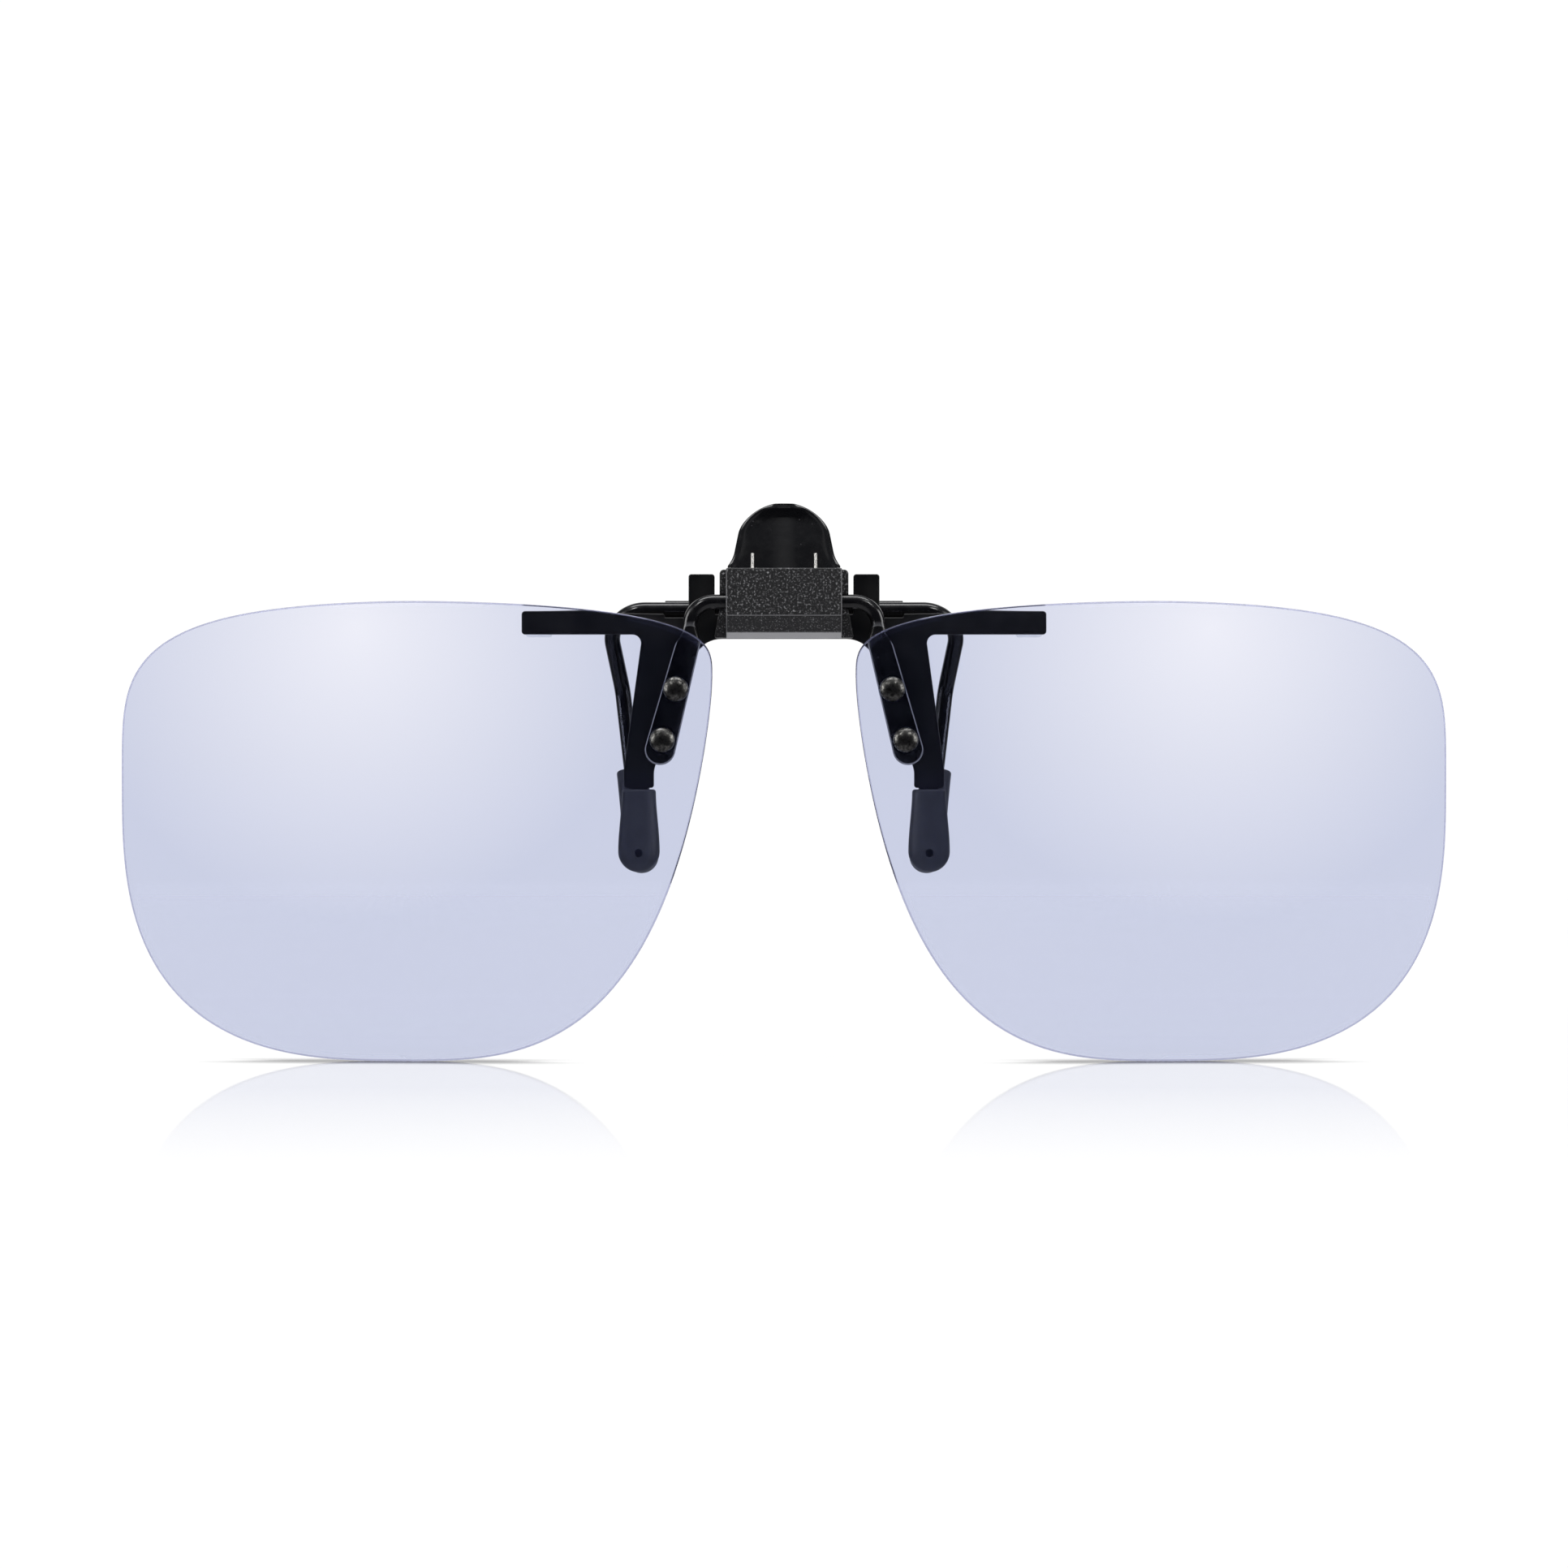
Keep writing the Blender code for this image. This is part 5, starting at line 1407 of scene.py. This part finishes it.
def mirrored_point(point, side):
    return Vector((side * point.x, point.y, point.z))


corners = []
for side in (-1, 1):
    leg = [
        (mirrored_point(JAW_END, side), 0), (mirrored_point(JAW_KINK, side), 3.0),
        (Vector((side * JAW_CORNER_X, JAW_AXIS.y, 0)), JAW_BEND),
    ]
    corners += leg if side < 0 else leg[::-1]
path = rounded_path(corners, step=math.radians(4))
jaw_wire = grow(
    "rear_bent_wire", path, [(i, i + 1) for i in range(len(path) - 1)], wire_tree,
    {"Wire diameter": JAW_WIRE}, gloss_coat,
)
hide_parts("rear_jaw_wire")
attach(jaw_wire, "rear_jaw")

# ---------------------------------------------------------------- Rear tips
# Two round vinyl caps pushed over the ends of the rear wire. They meet the front tips through the lens.
REAR_TIP_LENGTH = 10.9
REAR_TIP_WIDTHS = (3.2, 3.5)
REAR_TIP_OVER_WIRE = 1.3
for side_name, side in SIDES.items():
    end = mirrored_point(JAW_END, side)
    down = (end - mirrored_point(JAW_KINK, side)).normalized()
    top = end + down * (REAR_TIP_OVER_WIRE - REAR_TIP_LENGTH)
    across = Vector((1, 0, 0))
    across = (across - down * across.dot(down)).normalized()
    rings = cap_rings(top, down, across, REAR_TIP_WIDTHS, REAR_TIP_WIDTHS, REAR_TIP_LENGTH)
    tip = piece_from(f"rear_vinyl_tip_{side_name}", skin(rings), black_vinyl)
    carve(tip, [rod(top - down, end + down * 0.05, JAW_WIRE / 2 + 0.05)])
    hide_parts(f"rear_tip_{side_name}")
    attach(tip, "rear_jaw")

# ---------------------------------------------------------------- Thumb lever
# A moulded lever on two hubs round the rear wire: a tab that leans back behind the housing, flares at the
# root and is dished in front for the thumb, with a rolled rim round its top.
LEVER_LEAN = math.radians(24)
HUB_INNER_X = 4.0
HUB_OUTER_X = 5.6
HUB_WALL = 0.75
TAB_ROOT_Z = 0.9
TAB_TOP_Z = 11.2
TAB_THICKNESS = 1.3
TAB_CURL = 0.6
TAB_LIP = 0.55
# Half-widths of the tab at shares of its height; past the last share its top is half an ellipse.
TAB_ROOT_X = 5.6
TAB_HEEL_X = 5.9
TAB_HEEL_SHARE = 0.34
TAB_SIDE_X = 5.2
TAB_SIDE_SHARE = 0.49
TAB_SIDE_TAPER = 2.0
TAB_DOME_SHARE = 0.68
DISH = 0.1
RIM = 0.5
LEG_X_ON_TAB = 3.3
SPRING_WIRE = 0.36
COIL_RADIUS = JAW_AXIS.y - PLATE / 2 - 0.25 - SPRING_WIRE / 2

# Polished black moulding: mirrors softly all over, with hair-fine handling marks and a few specks of dust.
polished_black, tree, shader, spot = start_finish(
    "polished_black_moulding", {"Base Color": linear("#09090a"), "Roughness": 0.12, "IOR": 1.52}
)
marks = add_node(
    tree, "ShaderNodeTexNoise",
    inputs={"Vector": spot, "Scale": 1 / (0.9 * MM), "Detail": 6.0, "Roughness": 0.7},
)
handled = add_node(
    tree, "ShaderNodeMapRange", inputs={"Value": marks.outputs[0], 1: 0.35, 2: 0.7, 3: 0.09, 4: 0.2}
)
dust = add_node(tree, "ShaderNodeTexVoronoi", inputs={"Vector": spot, "Scale": 1 / (1.1 * MM)})
fleck = add_node(tree, "ShaderNodeMapRange", inputs={"Value": dust.outputs["Distance"], 1: 0.07, 2: 0.045})
flecked = add_node(
    tree, "ShaderNodeMix", {"data_type": "RGBA"},
    {0: fleck.outputs[0], 6: linear("#09090a"), 7: linear("#3a3a3c")},
)
ripple = add_node(
    tree, "ShaderNodeBump", inputs={"Strength": 0.1, "Distance": 0.01 * MM, "Height": marks.outputs[0]}
)
tree.links.new(handled.outputs[0], shader.inputs["Roughness"])
tree.links.new(flecked.outputs[2], shader.inputs["Base Color"])
tree.links.new(ripple.outputs[0], shader.inputs["Normal"])


def half_width(share):
    """Half the tab's width at a share of its height: flared heel, sweep, tapered side, domed top."""
    side = TAB_SIDE_X - TAB_SIDE_TAPER * (share - TAB_SIDE_SHARE)
    if share <= TAB_HEEL_SHARE:
        return TAB_ROOT_X + (TAB_HEEL_X - TAB_ROOT_X) * share / TAB_HEEL_SHARE
    if share < TAB_SIDE_SHARE:
        span = TAB_SIDE_SHARE - TAB_HEEL_SHARE
        flare = TAB_HEEL_X - TAB_SIDE_X - TAB_SIDE_TAPER * span
        return side + flare * ((TAB_SIDE_SHARE - share) / span) ** 2
    rise = max(0, (share - TAB_DOME_SHARE) / (1 - TAB_DOME_SHARE))
    return side * math.sqrt(1 - rise**2)


tab_back = Vector((0, math.cos(LEVER_LEAN), -math.sin(LEVER_LEAN)))
widest = TAB_ROOT_X
tab_middle = COIL_RADIUS + SPRING_WIRE / 2 + 0.05 + TAB_CURL * (
    LEG_X_ON_TAB / widest
) ** 2 + TAB_THICKNESS / 2
tab_height = TAB_TOP_Z - TAB_ROOT_Z
last_share = 0.985
shares = [last_share * (1 - (1 - k / 56) ** 1.6) for k in range(57)]
edge_line = [(half_width(s), TAB_ROOT_Z + tab_height * s) for s in shares]
edge_line += [(0.0, TAB_ROOT_Z + tab_height * 0.99)]
rings = []
for share in shares:
    z = TAB_ROOT_Z + tab_height * share
    lip = TAB_LIP * max(0, (share - 0.7) / 0.3) ** 2
    half_deep = TAB_THICKNESS / 2 * (
        1 - 0.2 * smooth(share, 0.72, 0.88) - 0.25 * smooth(share, 0.93, last_share)
    )
    centre = Vector((0, JAW_AXIS.y + tab_middle / math.cos(LEVER_LEAN) + z * math.tan(LEVER_LEAN), z))
    ring = []
    for point in ring_points(centre, Vector((1, 0, 0)), tab_back, half_width(share), half_deep, 96, 3.2):
        to_edge = min(math.hypot(abs(point.x) - x, z - edge_z) for x, edge_z in edge_line)
        frontness = smooth(-(point - centre).dot(tab_back) / half_deep, 0.5, 0.95)
        dished = DISH * frontness * smooth(to_edge, RIM * 0.6, RIM + 1.1) * smooth(z, 6.6, 9.2)
        curl = TAB_CURL * (point.x / widest) ** 2 + lip
        ring.append(point - tab_back * (curl - dished))
    rings.append(ring)
lever = piece_from("thumb_tab", skin(rings), polished_black)
hub_bore = JAW_WIRE / 2 + 0.05
root_z = TAB_ROOT_Z + 2.2
root_y = JAW_AXIS.y + tab_middle / math.cos(LEVER_LEAN) + root_z * math.tan(LEVER_LEAN) - TAB_CURL
hubs = []
for side in SIDES.values():
    bm = bmesh.new()
    for x in (side * HUB_INNER_X, side * HUB_OUTER_X):
        for y, z, radius in ((JAW_AXIS.y, 0, hub_bore + HUB_WALL), (root_y, root_z, 0.5)):
            centre = Vector((x, y, z))
            for point in ring_points(centre, Vector((0, 1, 0)), Vector((0, 0, 1)), radius, radius, 48):
                bm.verts.new(point)
    bmesh.ops.convex_hull(bm, input=bm.verts)
    hubs.append(bm)
carve(lever, hubs, "UNION")
reach = HUB_OUTER_X + 1
carve(lever, [rod(Vector((-reach, JAW_AXIS.y, 0)), Vector((reach, JAW_AXIS.y, 0)), hub_bore, 48)])
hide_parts("thumb_lever")
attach(lever, "rear_jaw")

# ---------------------------------------------------------------- Jaw spring
# A double torsion spring of 0.36 mm wire, coiled round the rear wire between the hubs. Its two legs press
# on the tab's face and its bail on the plate, and it shuts the jaws.
SPRING_TURNS = 4
SPRING_PITCH = 0.42
SPRING_LEG_LENGTH = 7.1
BAIL_TURN = math.radians(55)
BAIL_BEND = 0.5


def spring_half(side):
    """The middle line of half the spring: leg, coils and half the bail."""

    def on_coil(x, turn):
        y, z = COIL_RADIUS * math.cos(turn), COIL_RADIUS * math.sin(turn)
        return Vector((side * x, JAW_AXIS.y + y, z))

    start = -LEVER_LEAN
    finish = -BAIL_TURN - 2 * math.pi * SPRING_TURNS
    steps = 28 * SPRING_TURNS
    along_leg = Vector((0, math.sin(LEVER_LEAN), math.cos(LEVER_LEAN)))
    root = on_coil(LEG_X_ON_TAB, start)
    line = [root + along_leg * SPRING_LEG_LENGTH * k / 10 for k in range(10, 0, -1)]
    for k in range(steps + 1):
        turn = start + (finish - start) * k / steps
        line.append(on_coil(LEG_X_ON_TAB - SPRING_PITCH * (start - turn) / (2 * math.pi), turn))
    coil_end = line[-1]
    forward = Vector((0, -math.sin(BAIL_TURN), -math.cos(BAIL_TURN)))
    rest = PLATE / 2 + 0.05 + SPRING_WIRE / 2
    corner = coil_end + forward * (coil_end.y - rest) / math.sin(BAIL_TURN)
    bail = rounded_path([(coil_end, 0), (corner, BAIL_BEND), (Vector((0, corner.y, corner.z)), 0)])
    return line + bail[1:-1]


path = spring_half(-1) + spring_half(1)[::-1]
spring = grow(
    "torsion_spring", path, [(i, i + 1) for i in range(len(path) - 1)], wire_tree,
    {"Wire diameter": SPRING_WIRE}, spring_steel,
)
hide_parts("jaw_spring")
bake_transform(spring)

# ---------------------------------------------------------------- Sizes of what is shown
low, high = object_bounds()
